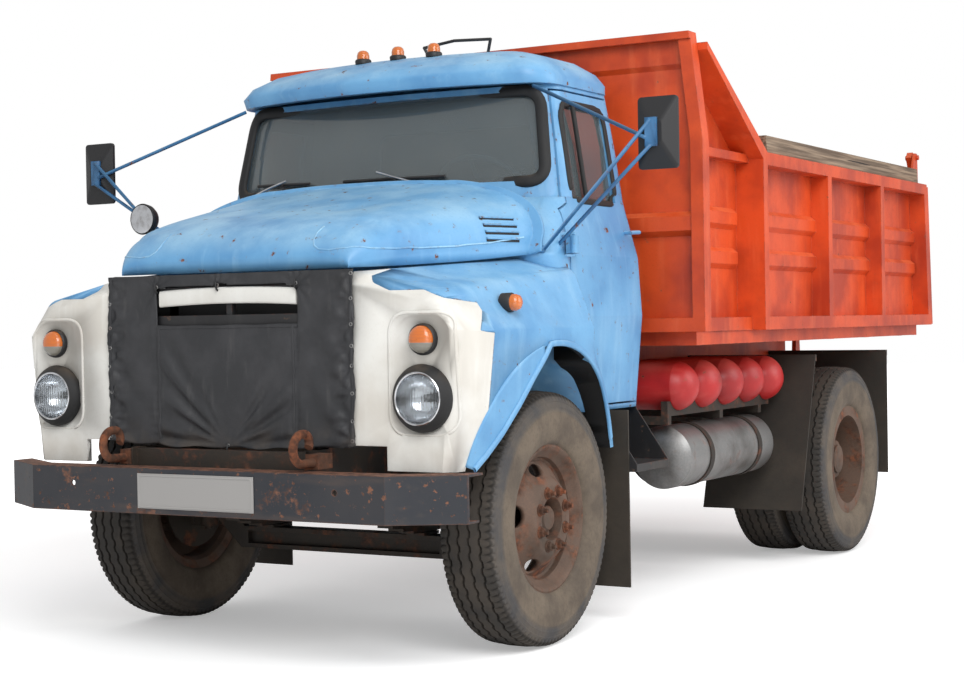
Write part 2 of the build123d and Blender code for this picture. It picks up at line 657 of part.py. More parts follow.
# Bonnet hinge posts on the cowl, each with a pin reaching inwards
post = prism([(178, BELT - 6), (236, BELT - 6), (196, BONNET_HINGE_Z), (186, BONNET_HINGE_Z + 14),
              (158, BONNET_HINGE_Z + 14), (156, BONNET_HINGE_Z - 12)], "x", BONNET_HINGE_X + 21, BONNET_HINGE_X + 33)
post += rod((BONNET_HINGE_X - 21, BONNET_HINGE_Y, BONNET_HINGE_Z), (BONNET_HINGE_X + 30, BONNET_HINGE_Y, BONNET_HINGE_Z),
            BONNET_PIN)
cab_walls = cab_walls + post + other_side(post)
save("cab", cab_walls)

for z in HINGE_HEIGHTS:
    barrel = rod((DOOR_HINGE_X, DOOR_HINGE_Y, z - 38), (DOOR_HINGE_X, DOOR_HINGE_Y, z + 38), HINGE_BARREL)
    strap = box(DOOR_HINGE_X - 40, DOOR_HINGE_X, DOOR_HINGE_Y, DOOR_HINGE_Y + 46, z - 38, z + 38)
    door += barrel
    door += strap
    door -= rod((DOOR_HINGE_X, DOOR_HINGE_Y, z - 40), (DOOR_HINGE_X, DOOR_HINGE_Y, z + 40), HINGE_PIN + FIT)
handle = fuse([
    rod((920, 878, 1712), (1012, 878, 1712), 9),
    rod((1008, 884, 1712), (1008, 790, 1706), 8),
])
door += handle - cab_outer
save("door_left", door)
save("door_right", other_side(door))

# Door glass, set in the middle of the door's wall
glass_face = shell(GLASS_LEVELS, 16, lift_low=-60, lift_high=0) - shell(
    GLASS_LEVELS, 16 + GLASS, lift_low=-61, lift_high=1)
door_glass = glass_face & side_block(WINDOW_OUTLINE, -FIT, 640, 1100)
save("door_glass_left", door_glass)
save("door_glass_right", other_side(door_glass))

# Windscreen and rear window
screen = (shell(GLASS_LEVELS, 12, lift_low=0, lift_high=0) - shell(
    GLASS_LEVELS, 12 + GLASS, lift_low=-1, lift_high=1)) & prism(
    [(-805, 1926), (805, 1926), (747, 2317), (-747, 2317)], "y", 120, 640, radius=60)
rear_pane = prism([(-429, 1901), (429, 1901), (429, 2239), (-429, 2239)], "y",
                  CAB_REAR - 32, CAB_REAR - 32 + GLASS, radius=49)
save("cab_glass", screen, rear_pane)

# Roof with its visor lip
roof = shell(ROOF_LEVELS, 0, corner_front=150, corner_rear=110) - shell(
    ROOF_LEVELS[:3], 40, corner_front=150, corner_rear=110, lift_low=-1, lift_high=-30)
save("roof", roof)

# Bonnet: vertical sections lofted from the nose to the seam at the cowl
BONNET_SECTIONS = (
    # station, half width at the seam, seam height, shoulder half width, shoulder height, crown
    (-768, 590, 1538, 572, 1596, 1612),
    (-742, 600, 1539, 588, 1636, 1660),
    (-690, 620, 1541, 608, 1664, 1698),
    (-560, 668, 1547, 648, 1694, 1750),
    (-220, 800, 1570, 748, 1744, 1832),
    (190, 948, 1610, 824, 1818, 1938),
)


def bonnet_face(section, inset, drop, corner):
    """Closed cross-section of the bonnet at one station."""
    y, half, seam, shoulder, shoulder_z, crown = section
    half, shoulder = half - inset, shoulder - inset * 0.8
    shoulder_z, crown, seam = shoulder_z - inset, crown - inset, seam - drop
    outline = ThreePointArc((shoulder, y, shoulder_z), (0, y, crown), (-shoulder, y, shoulder_z)) + Polyline(
        (-shoulder, y, shoulder_z), (-half, y, seam), (half, y, seam), (shoulder, y, shoulder_z))
    face = make_face(outline)
    tops = [v for v in face.vertices() if abs(v.Z - shoulder_z) < 0.5]
    return fillet(tops, corner)


BONNET_CORNERS = (20, 30, 42, 60, 80, 90)


def bonnet_loft(inset, drop, front=0):
    """Loft through the bonnet's sections, the first moved back by front."""
    faces = []
    for index, (section, corner) in enumerate(zip(BONNET_SECTIONS, BONNET_CORNERS)):
        shift = front if index == 0 else 0
        faces.append(bonnet_face((section[0] + shift, *section[1:]), inset, drop, corner))
    return loft(faces, ruled=True)


bonnet_outer = bonnet_loft(0, 0)
bonnet_inner = bonnet_loft(BONNET_SHEET, 60, front=BONNET_SHEET)
behind_seam = prism([(seam_y(1300), 1300), (seam_y(2100), 2100), (1200, 2100), (1200, 1300)], "x", -1300, 1300)
bonnet = bonnet_outer - bonnet_inner - behind_seam

# Louvres in the bonnet's flanks: four slots each side
LOUVRES = 4
for row in range(LOUVRES):
    z = 1742 - row * 30
    cut = box(700, 900, -150, 10, z, z + 9)
    bonnet = bonnet - cut - other_side(cut)

# Bonnet hinge lugs
for side in (1, -1):
    x = side * BONNET_HINGE_X
    crown = BONNET_HINGE_Z
    lug_plate = prism([(BONNET_HINGE_Y - 74, crown - 100), (BONNET_HINGE_Y - 34, crown - 88),
                       (BONNET_HINGE_Y + 14, crown - 14), (BONNET_HINGE_Y + 14, crown + 12),
                       (BONNET_HINGE_Y - 14, crown + 12), (BONNET_HINGE_Y - 74, crown - 60)],
                      "x", x - 15, x + 15)
    bonnet += lug_plate
    bonnet -= rod((x - 20, BONNET_HINGE_Y, crown), (x + 20, BONNET_HINGE_Y, crown), BONNET_PIN + FIT)
save("bonnet", bonnet)

# Wings: vertical sections lofted from the front face to behind the door's front edge
WING_LOW = 770
FLANK_Z = 1290     # height of the wings' widest line
WING_SECTIONS = (
    # station, inner edge, its height, shoulder half width, shoulder height, flank, foot, corner
    (-800, 580, 1470, 935, 1398, 1040, 985, 80),
    (-765, 585, 1522, 965, 1438, 1080, 1025, 90),
    (-610, 640, 1534, 985, 1460, 1108, 1050, 100),
    (-300, 765, 1556, 1000, 1486, 1118, 1070, 100),
    (WING_REAR, 895, 1594, 1012, 1524, 1100, 1090, 90),
    (620, 895, 1594, 1000, 1524, 1006, 1012, 60),
)
INNER_REACH = 330


def wing_face(section, inset, reach, drop):
    """Cross-section of a wing at one station, with a rounded shoulder."""
    y, inner, inner_z, shoulder, shoulder_z, flank, foot, corner = section
    points = [(inner - reach, y, WING_LOW - drop), (inner - reach, y, inner_z - inset),
              (shoulder - inset * 0.6, y, shoulder_z - inset), (flank - inset, y, FLANK_Z),
              (foot - inset, y, WING_LOW - drop)]
    face = make_face(Polyline(*points, close=True))
    top = [v for v in face.vertices() if abs(v.X - shoulder + inset * 0.6) < 0.5]
    return fillet(top, corner - inset * 0.5)


def wing_loft(inset, reach, drop, front=0):
    """Loft through the wing's sections; front moves the first two stations back."""
    shifts = [front, front] + [0] * (len(WING_SECTIONS) - 2)
    return loft([
        wing_face((section[0] + shift, *section[1:]), inset, reach, drop)
        for section, shift in zip(WING_SECTIONS, shifts)
    ], ruled=True)


cab_skin = shell(CAB_LEVELS, -FIT, lift_low=-40)
wing_outer = wing_loft(0, 0, 0)
wing_inner = wing_loft(WING_SHEET, INNER_REACH, 60, front=WING_SHEET)
arch_hole = Pos(1000, ARCH_Y, ARCH_Z) * Rot(0, 90, 0) * Cylinder(ARCH_RADIUS, 420)
wing_front = (wing_outer - wing_inner) & box(500, 1300, -900, WING_REAR, WING_LOW, 1700)
wing_front -= arch_hole
lip_outer = Pos(1000, ARCH_Y, ARCH_Z) * Rot(0, 90, 0) * Cylinder(ARCH_RADIUS + ARCH_LIP, 420)
wing_lip = (wing_outer & lip_outer & box(940, 1300, WING_REAR - 60, 620, WING_LOW + 5, 1400)) - arch_hole
wing_shell = (wing_front + wing_lip) - cab_skin - ahead_of_seam(-2 * DOOR_GAP, low=2300, high=2400)

# Front panel: the pale face round the lamps, split from the wing along an S-shaped edge
PANEL_EDGE = [(400, 700), (1300, 700), (1300, 1215), (1096, 1285), (1040, 1392), (900, 1446), (760, 1446),
              (680, 1478), (625, 1580), (400, 1580)]
PANEL_REAR = -608
panel_region = prism(PANEL_EDGE, "y", -900, PANEL_REAR, radius=30)
front_panel = wing_shell & panel_region
wing = wing_shell - panel_region
LAMP_X = 905
HEADLAMP_Z = 1043
INDICATOR_Z = 1262
PANEL_FACE = WING_SECTIONS[0][0]
RECESS = 9
HEADLAMP_RADIUS = 122
BUCKET_RADIUS = 90
recess_cut = prism([(LAMP_X - 136, 902), (LAMP_X + 136, 902), (LAMP_X + 112, 1352), (LAMP_X - 104, 1352)],
                   "y", PANEL_FACE - 40, PANEL_FACE + RECESS, radius=70)
front_panel -= recess_cut
front_panel -= rod((LAMP_X, PANEL_FACE - 50, HEADLAMP_Z), (LAMP_X, PANEL_FACE + 130, HEADLAMP_Z), BUCKET_RADIUS + FIT)
front_panel -= box(500, 745, -900, -700, WING_LOW - 1, 862)
save("wings", *pair(wing))
save("front_panels", *pair(front_panel))


def lamp(x, z, back, outline):
    """Lamp turned about a lengthwise axis, from (distance ahead of its seat, radius) points."""
    points = [(x + r, back - ahead, z) for ahead, r in outline]
    return revolve(make_face(Polyline(*points, close=True)), axis=Axis((x, back, z), (0, 1, 0)))


seat_y = PANEL_FACE + RECESS - FIT
headlamp = lamp(LAMP_X, HEADLAMP_Z, seat_y, [
    (0, BUCKET_RADIUS), (-70, BUCKET_RADIUS), (-110, 40), (-110, 0), (46, 0), (42, 50), (32, 84), (26, 96),
    (34, 104), (34, 114), (22, HEADLAMP_RADIUS), (0, HEADLAMP_RADIUS)])
indicator = lamp(LAMP_X + 6, INDICATOR_Z, seat_y, [
    (0, 56), (14, 56), (18, 50), (40, 44), (50, 30), (54, 0), (0, 0)])
save("headlamps", *pair(headlamp))
side_lamp = fuse([
    rod((950, -420, 1398), (1085, -425, 1392), 30),
    rod((1080, -425, 1392), (1108, -427, 1390), 24),
]) - wing_outer
rear_lamp = rod((390, RAIL_REAR + FIT, 815), (390, RAIL_REAR + 36, 815), 38)
save("indicators", *pair(indicator), *pair(side_lamp), *pair(rear_lamp))

# Grille bars between the front panels, with the radiator behind them
GRILLE_HALF = 580.5
GRILLE_BARS = 6
GRILLE_LOW = 852
grille_pitch = (1530 - GRILLE_LOW) / GRILLE_BARS
grille = fuse([
    *[box(-GRILLE_HALF, GRILLE_HALF, PANEL_FACE + 6, PANEL_FACE + 30, GRILLE_LOW + k * grille_pitch,
          GRILLE_LOW + (k + 0.56) * grille_pitch) for k in range(GRILLE_BARS)],
    *[box(x - 14, x + 14, PANEL_FACE + 16, PANEL_FACE + 44, GRILLE_LOW, 1480)
      for x in (-GRILLE_HALF + 14, 0, GRILLE_HALF - 14)],
])
radiator = fuse([
    box(-330, 330, -690, -630, RAIL_TOP + FIT, 1480),
    *pair(box(326, 372, -700, -620, RAIL_TOP + FIT, 1490)),
])
save("grille", grille, radiator)

# Cloth cover over the grille, with its opening
COVER_HALF = 612
COVER_THICK = 18
COVER_LOW = 850
COVER_HIGH = 1533
SLOT_HALF = 346
SLOT_LOW = 1330
SLOT_HIGH = 1476
cover_back = PANEL_FACE - FIT
cover = box(-COVER_HALF, COVER_HALF, cover_back - COVER_THICK, cover_back, COVER_LOW, COVER_HIGH)
cover -= box(-SLOT_HALF, SLOT_HALF, cover_back - 60, cover_back + 60, SLOT_LOW, SLOT_HIGH)
save("radiator_cover", cover)

# Dashboard, steering wheel, seats
dashboard = prism([(120, 1560), (430, 1560), (505, 1620), (505, 1700), (430, 1800), (120, 1800)],
                  "x", -800, 800, radius=24) & shell(CAB_LEVELS, CAB_WALL + FIT)
save("dashboard", dashboard)
WHEEL_X = 400
WHEEL_RADIUS = 232
wheel_plane = Plane(origin=(WHEEL_X, 590, 1880), x_dir=(1, 0, 0), z_dir=(0, -sin(radians(48)), -cos(radians(48))))
steering_wheel = wheel_plane * Torus(WHEEL_RADIUS, 13)
for angle in (90, 210, 330):
    spoke_end = (WHEEL_RADIUS * cos(radians(angle)), WHEEL_RADIUS * sin(radians(angle)), 0)
    steering_wheel += rod(tuple(wheel_plane.from_local_coords((0, 0, 30))),
                          tuple(wheel_plane.from_local_coords(spoke_end)), 9)
steering_wheel += rod(tuple(wheel_plane.from_local_coords((0, 0, -12))),
                      tuple(wheel_plane.from_local_coords((0, 0, 330))), 34)
save("steering_wheel", steering_wheel - dashboard)

seat = fuse([
    prism([(500, 1290), (930, 1270), (930, 1395), (560, 1420), (500, 1380)], "x", -760, 760, radius=28),
    prism([(850, 1380), (940, 1360), (962, 1900), (900, 1910)], "x", -760, 760, radius=24),
])
seat += box(-720, 720, 540, 900, CAB_FLOOR + CAB_WALL + FIT, 1300)
save("seat", seat)


def glass_y(x, z):
    """Front of the windscreen's glass near a point."""
    low, high = GLASS_LEVELS[0], GLASS_LEVELS[2]
    t = (z - low[0]) / (high[0] - low[0])
    half, side, mid = (low[i] + t * (high[i] - low[i]) for i in (1, 2, 3))
    return mid + 12 + (side - mid) * (x / half) ** 2


# Wipers: a pivot on the cowl, an arm and a blade lying on the glass
WIPERS = (
    # pivot x, blade's low end, blade's high end
    (232, (-150, 1962), (372, 1960)),
    (-470, (-350, 1965), (-690, 1975)),
)
wipers = []
for pivot_x, start, end in WIPERS:
    def on_glass(point, off):
        """Point held off the glass."""
        return (point[0], glass_y(*point) - off, point[1])
    middle = ((start[0] + end[0]) / 2, (start[1] + end[1]) / 2)
    foot = (pivot_x, glass_y(pivot_x, 1905) - 26, 1905)
    wipers.append(fuse([
        rod((foot[0], foot[1] + 14, foot[2] - 30), foot, 11),
        rod(foot, on_glass(middle, 26), 5),
        rod(on_glass(start, 18), on_glass(middle, 20), 7),
        rod(on_glass(middle, 20), on_glass(end, 18), 7),
    ]) - cab_outer)
save("wipers", *wipers)

# Roof lamps and the bent bar beside them
ROOF_LAMPS = (-182, 8, 200)
ROOF_LAMP_Y = 470


def roof_z(x, y):
    """Height of the roof near its front crown."""
    line = Line((x, y, 2300), (x, y, 2800))
    return max(v.Z for v in (roof & line).vertices())


lamps = []
for x in ROOF_LAMPS:
    z = roof_z(x, ROOF_LAMP_Y)
    lamps.append((rod((x, ROOF_LAMP_Y, z - 6), (x, ROOF_LAMP_Y, z + 14), 40) + rod(
        (x, ROOF_LAMP_Y, z + 12), (x, ROOF_LAMP_Y, z + 60), 27)) - roof)
save("roof_lamps", *lamps)
bar_z = roof_z(250, 560)
bar_points = [(120, 560, bar_z - 2), (96, 556, bar_z + 42), (250, 566, bar_z + 62), (420, 600, bar_z + 58),
              (400, 610, roof_z(400, 610) - 2)]
roof_bar = fuse([rod(a, b, 7) for a, b in zip(bar_points, bar_points[1:])]
                + [Pos(*p) * Sphere(7) for p in bar_points[1:-1]]) - roof
save("roof_bar", roof_bar)

# Mirrors: heads with pyramid backs, on tubes from the roof's corner and the cowl
MIRROR_AT = (1462, 100, 2062)
MIRROR_SIZE = (172, 288)
MIRROR_DEPTH = 46
ARM_RADIUS = 8


def mirror_section(width, height, y):
    """Rounded rectangle facing fore and aft."""
    plane = Plane(origin=(MIRROR_AT[0], y, MIRROR_AT[2]), x_dir=(1, 0, 0), z_dir=(0, -1, 0))
    return plane * RectangleRounded(width, height, 16)


mirror_head = loft([
    mirror_section(MIRROR_SIZE[0], MIRROR_SIZE[1], MIRROR_AT[1] + 14),
    mirror_section(MIRROR_SIZE[0], MIRROR_SIZE[1], MIRROR_AT[1]),
], ruled=True) + loft([
    mirror_section(MIRROR_SIZE[0], MIRROR_SIZE[1], MIRROR_AT[1]),
    mirror_section(62, 90, MIRROR_AT[1] - MIRROR_DEPTH + 14),
], ruled=True)
bracket_y = MIRROR_AT[1] - MIRROR_DEPTH + 6
ARMS = (
    # from the head, to its foot on the cab
    ((1430, bracket_y, 2040), (770, 350, 2330)),
    ((1452, bracket_y, 2112), (950, 88, 1618)),
    ((1452, bracket_y, 2012), (950, 214, 1640)),
)
arms = fuse([
    box(1425, 1475, bracket_y - 6, bracket_y + 8 - FIT, 2005, 2120),
    *[rod((start[0], start[1] - 5, start[2]), end, ARM_RADIUS) for start, end in ARMS],
    *[rod(end, (end[0] - 16, end[1], end[2]), 15) for _, end in ARMS[1:]],
])
arms = arms - cab_outer - roof
arms_solid = max(arms.solids(), key=lambda s: s.volume)
save("mirror_heads", *pair(mirror_head))
save("mirror_arms", *pair(arms_solid))

# Round work lamp on the right mirror's tubes
spot_at = (-1150, 70, 1830)
spot = revolve(make_face(Polyline(*[(spot_at[0] + r, spot_at[1] - ahead, spot_at[2]) for ahead, r in (
    (-50, 0), (-46, 34), (0, 66), (30, 72), (36, 68), (40, 0))], close=True)),
    axis=Axis(spot_at, (0, 1, 0)))
save("spot_lamp", spot - other_side(arms_solid))

# Steps below the doors, with cheeks up to the cab's floor and arms from the rails
STEP_FRONT = 632
STEP_REAR = 962
STEP_INNER = 770
STEP_OUTER = 1098
STEP_TOP = 694
STEP_TRAY = 34
CHEEK = 6
hang = CAB_FLOOR - FIT
step = box(STEP_INNER, STEP_OUTER, STEP_FRONT, STEP_REAR, STEP_TOP - STEP_TRAY, STEP_TOP)
step -= box(STEP_INNER + CHEEK, STEP_OUTER - CHEEK, STEP_FRONT + CHEEK, STEP_REAR - CHEEK,
            STEP_TOP - STEP_TRAY - 1, STEP_TOP - CHEEK)
for y in (STEP_FRONT, STEP_REAR - CHEEK):
    step += prism([(STEP_INNER, STEP_TOP - 10), (STEP_OUTER, STEP_TOP - 10), (STEP_OUTER, STEP_TOP),
                   (940, hang), (STEP_INNER, hang)], "y", y, y + CHEEK)
step += box(STEP_INNER, STEP_INNER + CHEEK, STEP_FRONT, STEP_REAR, STEP_TOP - 10, hang)
for y in (STEP_FRONT + 50, STEP_REAR - 80):
    step += box(RAIL_HALF + FIT, STEP_INNER + 10, y, y + 30, STEP_TOP + 20, STEP_TOP + 60)
save("steps", *pair(step))

# Mud flaps: rubber sheets behind the front wheels, before and behind the rear ones
FLAP = 10
front_flap = box(752, 1062, STEP_FRONT - FIT - FLAP, STEP_FRONT - FIT, 158, hang)
FLAP_INNER = 622
FLAP_OUTER = 1172
flap_head = (WHEELBASE - 590, 1120)
flap_foot = (WHEELBASE - 838, 312)
fore_flap = prism([flap_head, (flap_head[0] + FLAP, flap_head[1]), (flap_foot[0] + FLAP, flap_foot[1]), flap_foot],
                  "x", FLAP_INNER, FLAP_OUTER)
AFT_FLAP_Y = WHEELBASE + 640
aft_flap = box(FLAP_INNER, FLAP_OUTER, AFT_FLAP_Y, AFT_FLAP_Y + FLAP, 395, 1110)
save("mud_flaps", *pair(front_flap), *pair(fore_flap), *pair(aft_flap))
flap_bars = []
for y in (flap_head[0] + FLAP + FIT, AFT_FLAP_Y + FLAP + FIT):
    flap_bars += pair(fuse([
        box(RAIL_HALF + FIT, FLAP_OUTER - 8, y, y + 30, 1086, flap_head[1]),
        box(RAIL_HALF + FIT, RAIL_HALF + 40, y, y + 30, 880, flap_head[1]),
    ]))

# Gas cylinders: five across each side, with round ends, on a rack over the rails' side
GAS_RADIUS = 116
GAS_FIRST = 1385
GAS_PITCH = 280
GAS_COUNT = 5
GAS_Z = 1006
GAS_INNER = 462
GAS_OUTER = 1062
DOME = 92


def cap_points(radius, depth):
    """Offsets of a spherical cap's middle point from its rim: (along the axis, from the axis)."""
    ball = (radius ** 2 + depth ** 2) / (2 * depth)
    middle = (ball ** 2 - (radius / 2) ** 2) ** 0.5
    return middle - (ball - depth), radius / 2


def bottle(y):
    """Gas cylinder lying crosswise, with domed ends."""
    left, right = GAS_INNER + DOME, GAS_OUTER - DOME
    ahead, off = cap_points(GAS_RADIUS, DOME)

    def at(x, r):
        return (x, y, GAS_Z + r)

    face = make_face(
        ThreePointArc(at(GAS_INNER, 0), at(left - ahead, off), at(left, GAS_RADIUS))
        + Line(at(left, GAS_RADIUS), at(right, GAS_RADIUS))
        + ThreePointArc(at(right, GAS_RADIUS), at(right + ahead, off), at(GAS_OUTER, 0))
        + Line(at(GAS_OUTER, 0), at(GAS_INNER, 0))
    )
    return revolve(face, axis=Axis((0, y, GAS_Z), (1, 0, 0)))


bottle_ys = [GAS_FIRST + k * GAS_PITCH for k in range(GAS_COUNT)]
bottles = [bottle(y) for y in bottle_ys]
save("gas_cylinders", *bottles, *[other_side(b) for b in bottles])
rack = []
rack_low = GAS_Z - GAS_RADIUS - 12
rack_front = GAS_FIRST - GAS_RADIUS - 10
rack_rear = bottle_ys[-1] + 50
for x in (560, 930):
    bar = box(x, x + 34, rack_front, rack_rear, rack_low - 12, GAS_Z - 70)
    for y in bottle_ys:
        bar -= rod((x - 1, y, GAS_Z), (x + 35, y, GAS_Z), GAS_RADIUS + FIT)
    rack.append(bar)
for y in (rack_front, (rack_front + rack_rear) / 2 - 20, rack_rear - 150):
    rack.append(box(RAIL_HALF + FIT, 964, y, y + 40, rack_low - 52, rack_low - 12))
cylinder_rack = fuse(rack)

# Air tank below the cylinders on the left, hung in two straps, with its drain cock
TANK_RADIUS = 150
TANK_X = 900
TANK_Z = 668
TANK_FRONT = 1290
TANK_REAR = 2440
TANK_DOME = 46
STRAP = 6
ahead, off = cap_points(TANK_RADIUS, TANK_DOME)


def tank_at(y, r):
    """Point of the tank's half outline."""
    return (TANK_X, y, TANK_Z + r)


tank_face = make_face(
    Line(tank_at(TANK_FRONT, 0), tank_at(TANK_REAR, 0))
    + ThreePointArc(tank_at(TANK_REAR, 0), tank_at(TANK_REAR - TANK_DOME + ahead, off),
                    tank_at(TANK_REAR - TANK_DOME, TANK_RADIUS))
    + Line(tank_at(TANK_REAR - TANK_DOME, TANK_RADIUS), tank_at(TANK_FRONT + TANK_DOME, TANK_RADIUS))
    + ThreePointArc(tank_at(TANK_FRONT + TANK_DOME, TANK_RADIUS), tank_at(TANK_FRONT + TANK_DOME - ahead, off),
                    tank_at(TANK_FRONT, 0))
)
tank = revolve(tank_face, axis=Axis((TANK_X, 0, TANK_Z), (0, 1, 0)))
save("air_tank", tank)
straps = []
for y in (1560, 2180):
    band = rod((TANK_X, y, TANK_Z), (TANK_X, y + 44, TANK_Z), TANK_RADIUS + STRAP + FIT)
    band -= rod((TANK_X, y - 1, TANK_Z), (TANK_X, y + 45, TANK_Z), TANK_RADIUS + FIT)
    arm = box(RAIL_HALF + FIT, TANK_X, y, y + 44, TANK_Z + TANK_RADIUS + 2, rack_low - 52 - FIT)
    foot = box(RAIL_HALF + FIT, RAIL_HALF + 14, y, y + 44, RAIL_BOTTOM + 10, rack_low - 52 - FIT)
    straps.append(band + arm + foot)
save("racks", *pair(cylinder_rack), *straps, *flap_bars)


# Tipping bed


def rear_y(z):
    """The bed's leaning rear edge at a height."""
    return BED_REAR + BED_LEAN * (RAIL_CAP - z) / (RAIL_CAP - BED_BOTTOM)


INSET_HALF = 1082      # outer face of the inset front bay
FLANGE_TOP = 1326
CAP_LOW = 2070
HEAD_REAR = BED_FRONT + 72
POST_YS = (BED_CORNER, 2790, 3700)
RIB_DEPTH = 26
RIB_LEVELS = ((1560, 1665), (1752, 1858))
RIB_EDGE = 24


def pressed_rib(face_x, low, high, front, rear):
    """Pressed rib along a side sheet, with slanting edges."""
    return prism([(face_x - 1, low), (face_x + RIB_DEPTH, low + RIB_EDGE), (face_x + RIB_DEPTH, high - RIB_EDGE),
                  (face_x - 1, high)], "y", front, rear)


bed_side = [
    prism([(BED_CORNER, BED_BOTTOM), (rear_y(BED_BOTTOM), BED_BOTTOM), (BED_REAR, RAIL_CAP), (BED_CORNER, RAIL_CAP)],
          "x", SKIN_HALF - SHEET, SKIN_HALF),
    prism([(BED_CORNER, CAP_LOW), (rear_y(CAP_LOW), CAP_LOW), (BED_REAR, RAIL_CAP), (BED_CORNER, RAIL_CAP)],
          "x", SKIN_HALF - 1, BED_HALF),
    prism([(BED_CORNER, BED_BOTTOM), (rear_y(BED_BOTTOM), BED_BOTTOM), (rear_y(FLANGE_TOP), FLANGE_TOP),
           (BED_CORNER, FLANGE_TOP)], "x", SKIN_HALF - 1, BED_HALF),
    prism([(rear_y(BED_BOTTOM) - POST_WIDTH, BED_BOTTOM), (rear_y(BED_BOTTOM), BED_BOTTOM), (BED_REAR, RAIL_CAP),
           (BED_REAR - POST_WIDTH, RAIL_CAP)], "x", SKIN_HALF - 1, BED_HALF),
]
for index, y in enumerate(POST_YS):
    inner = INSET_HALF - SHEET if index == 0 else SKIN_HALF - 1
    bed_side.append(box(inner, BED_HALF, y, y + POST_WIDTH, BED_BOTTOM, RAIL_CAP))
bays = list(zip(POST_YS, POST_YS[1:] + (BED_REAR,)))
for low, high in RIB_LEVELS:
    for front, rear in bays:
        bed_side.append(pressed_rib(SKIN_HALF, low, high, front + POST_WIDTH - 1, rear + (1 if rear != BED_REAR else -30)))

# Inset front bay, its rail and the tall sloping cheek above it
CHEEK_TOP = HEAD_TOP - 45
bed_side += [
    prism([(HEAD_REAR, BED_BOTTOM), (BED_CORNER + 1, BED_BOTTOM), (BED_CORNER + 1, RAIL_CAP), (HEAD_REAR, CHEEK_TOP)],
          "x", INSET_HALF - SHEET, INSET_HALF),
    box(INSET_HALF - 1, SKIN_HALF + 20, HEAD_REAR, BED_CORNER + 1, CAP_LOW + 10, RAIL_CAP - 10),
    box(INSET_HALF - 1, SKIN_HALF + 30, HEAD_REAR, BED_CORNER + 1, BED_BOTTOM, FLANGE_TOP),
    prism([(HEAD_REAR, CHEEK_TOP - 34), (HEAD_REAR, CHEEK_TOP), (BED_CORNER + POST_WIDTH, RAIL_CAP),
           (BED_CORNER, RAIL_CAP - 34)], "x", INSET_HALF - SHEET, BED_HALF),
]
for low, high in RIB_LEVELS:
    bed_side.append(pressed_rib(INSET_HALF, low, high, HEAD_REAR + 60, BED_CORNER - 50))

# Hinge bracket for the tailgate at the rear corner
GATE_Y = 4588
GATE_Z = 2300
GATE_PIN = 15
bed_side.append(prism([(BED_REAR - 150, RAIL_CAP - 2), (BED_REAR - 2, RAIL_CAP - 2), (GATE_Y + 26, GATE_Z + 26),
                       (GATE_Y - 26, GATE_Z + 26)], "x", SKIN_HALF + 30, SKIN_HALF + 44, radius=10))
bed_side.append(rod((SKIN_HALF - 20, GATE_Y, GATE_Z), (SKIN_HALF + 60, GATE_Y, GATE_Z), GATE_PIN))
side_left = fuse(bed_side)
save("bed_sides", *pair(side_left))

# Weathered planks along the side rails
PLANK_FRONT = 1925
plank = prism([(PLANK_FRONT, RAIL_CAP + FIT), (BED_REAR - 160, RAIL_CAP + FIT), (BED_REAR - 175, RAIL_CAP + 84),
               (PLANK_FRONT - 20, RAIL_CAP + 84)], "x", SKIN_HALF - 18, BED_HALF - 8)
save("bed_planks", *pair(plank))

# Headboard: folded sheet with a top lip, edge posts, a channel rib and a bottom flange
headboard = fuse([
    box(-BED_HALF + 20, BED_HALF - 20, HEAD_REAR - SHEET, HEAD_REAR - FIT, BED_BOTTOM, HEAD_TOP - 20),
    prism([(BED_FRONT - 14, HEAD_TOP - 34), (BED_FRONT - 14, HEAD_TOP), (HEAD_REAR - FIT, HEAD_TOP),
           (HEAD_REAR - FIT, HEAD_TOP - 22), (BED_FRONT + 6, HEAD_TOP - 22), (BED_FRONT + 6, HEAD_TOP - 34)],
          "x", -BED_HALF, BED_HALF),
    *pair(prism([(BED_HALF - 62, BED_BOTTOM), (BED_HALF, BED_BOTTOM), (BED_HALF, RAIL_CAP),
                 (BED_HALF - HEAD_TAPER, HEAD_TOP - 10), (BED_HALF - HEAD_TAPER - 62, HEAD_TOP - 10),
                 (BED_HALF - 62, RAIL_CAP)], "y", BED_FRONT, HEAD_REAR - FIT)),
    box(-BED_HALF, BED_HALF, BED_FRONT, HEAD_REAR - FIT, BED_BOTTOM, FLANGE_TOP),
    prism([(HEAD_REAR - SHEET + 1, 1700), (BED_FRONT + 8, 1724), (BED_FRONT + 8, 1790), (HEAD_REAR - SHEET + 1, 1814)],
          "x", -BED_HALF + 30, BED_HALF - 30),
    prism([(HEAD_REAR - SHEET + 1, 2462), (BED_FRONT + 34, 2486), (BED_FRONT + 34, HEAD_TOP - 10),
           (HEAD_REAR - SHEET + 1, HEAD_TOP - 10)], "x", -BED_HALF + 30, BED_HALF - 30),
])
beyond_post = prism([(BED_HALF, RAIL_CAP), (BED_HALF + 50, RAIL_CAP), (BED_HALF + 50, HEAD_TOP + 20),
                     (BED_HALF - HEAD_TAPER * (HEAD_TOP + 20 - RAIL_CAP) / (HEAD_TOP - 10 - RAIL_CAP), HEAD_TOP + 20)],
                    "y", BED_FRONT - 20, HEAD_REAR + 10)
headboard -= beyond_post
headboard -= other_side(beyond_post)
save("headboard", headboard)

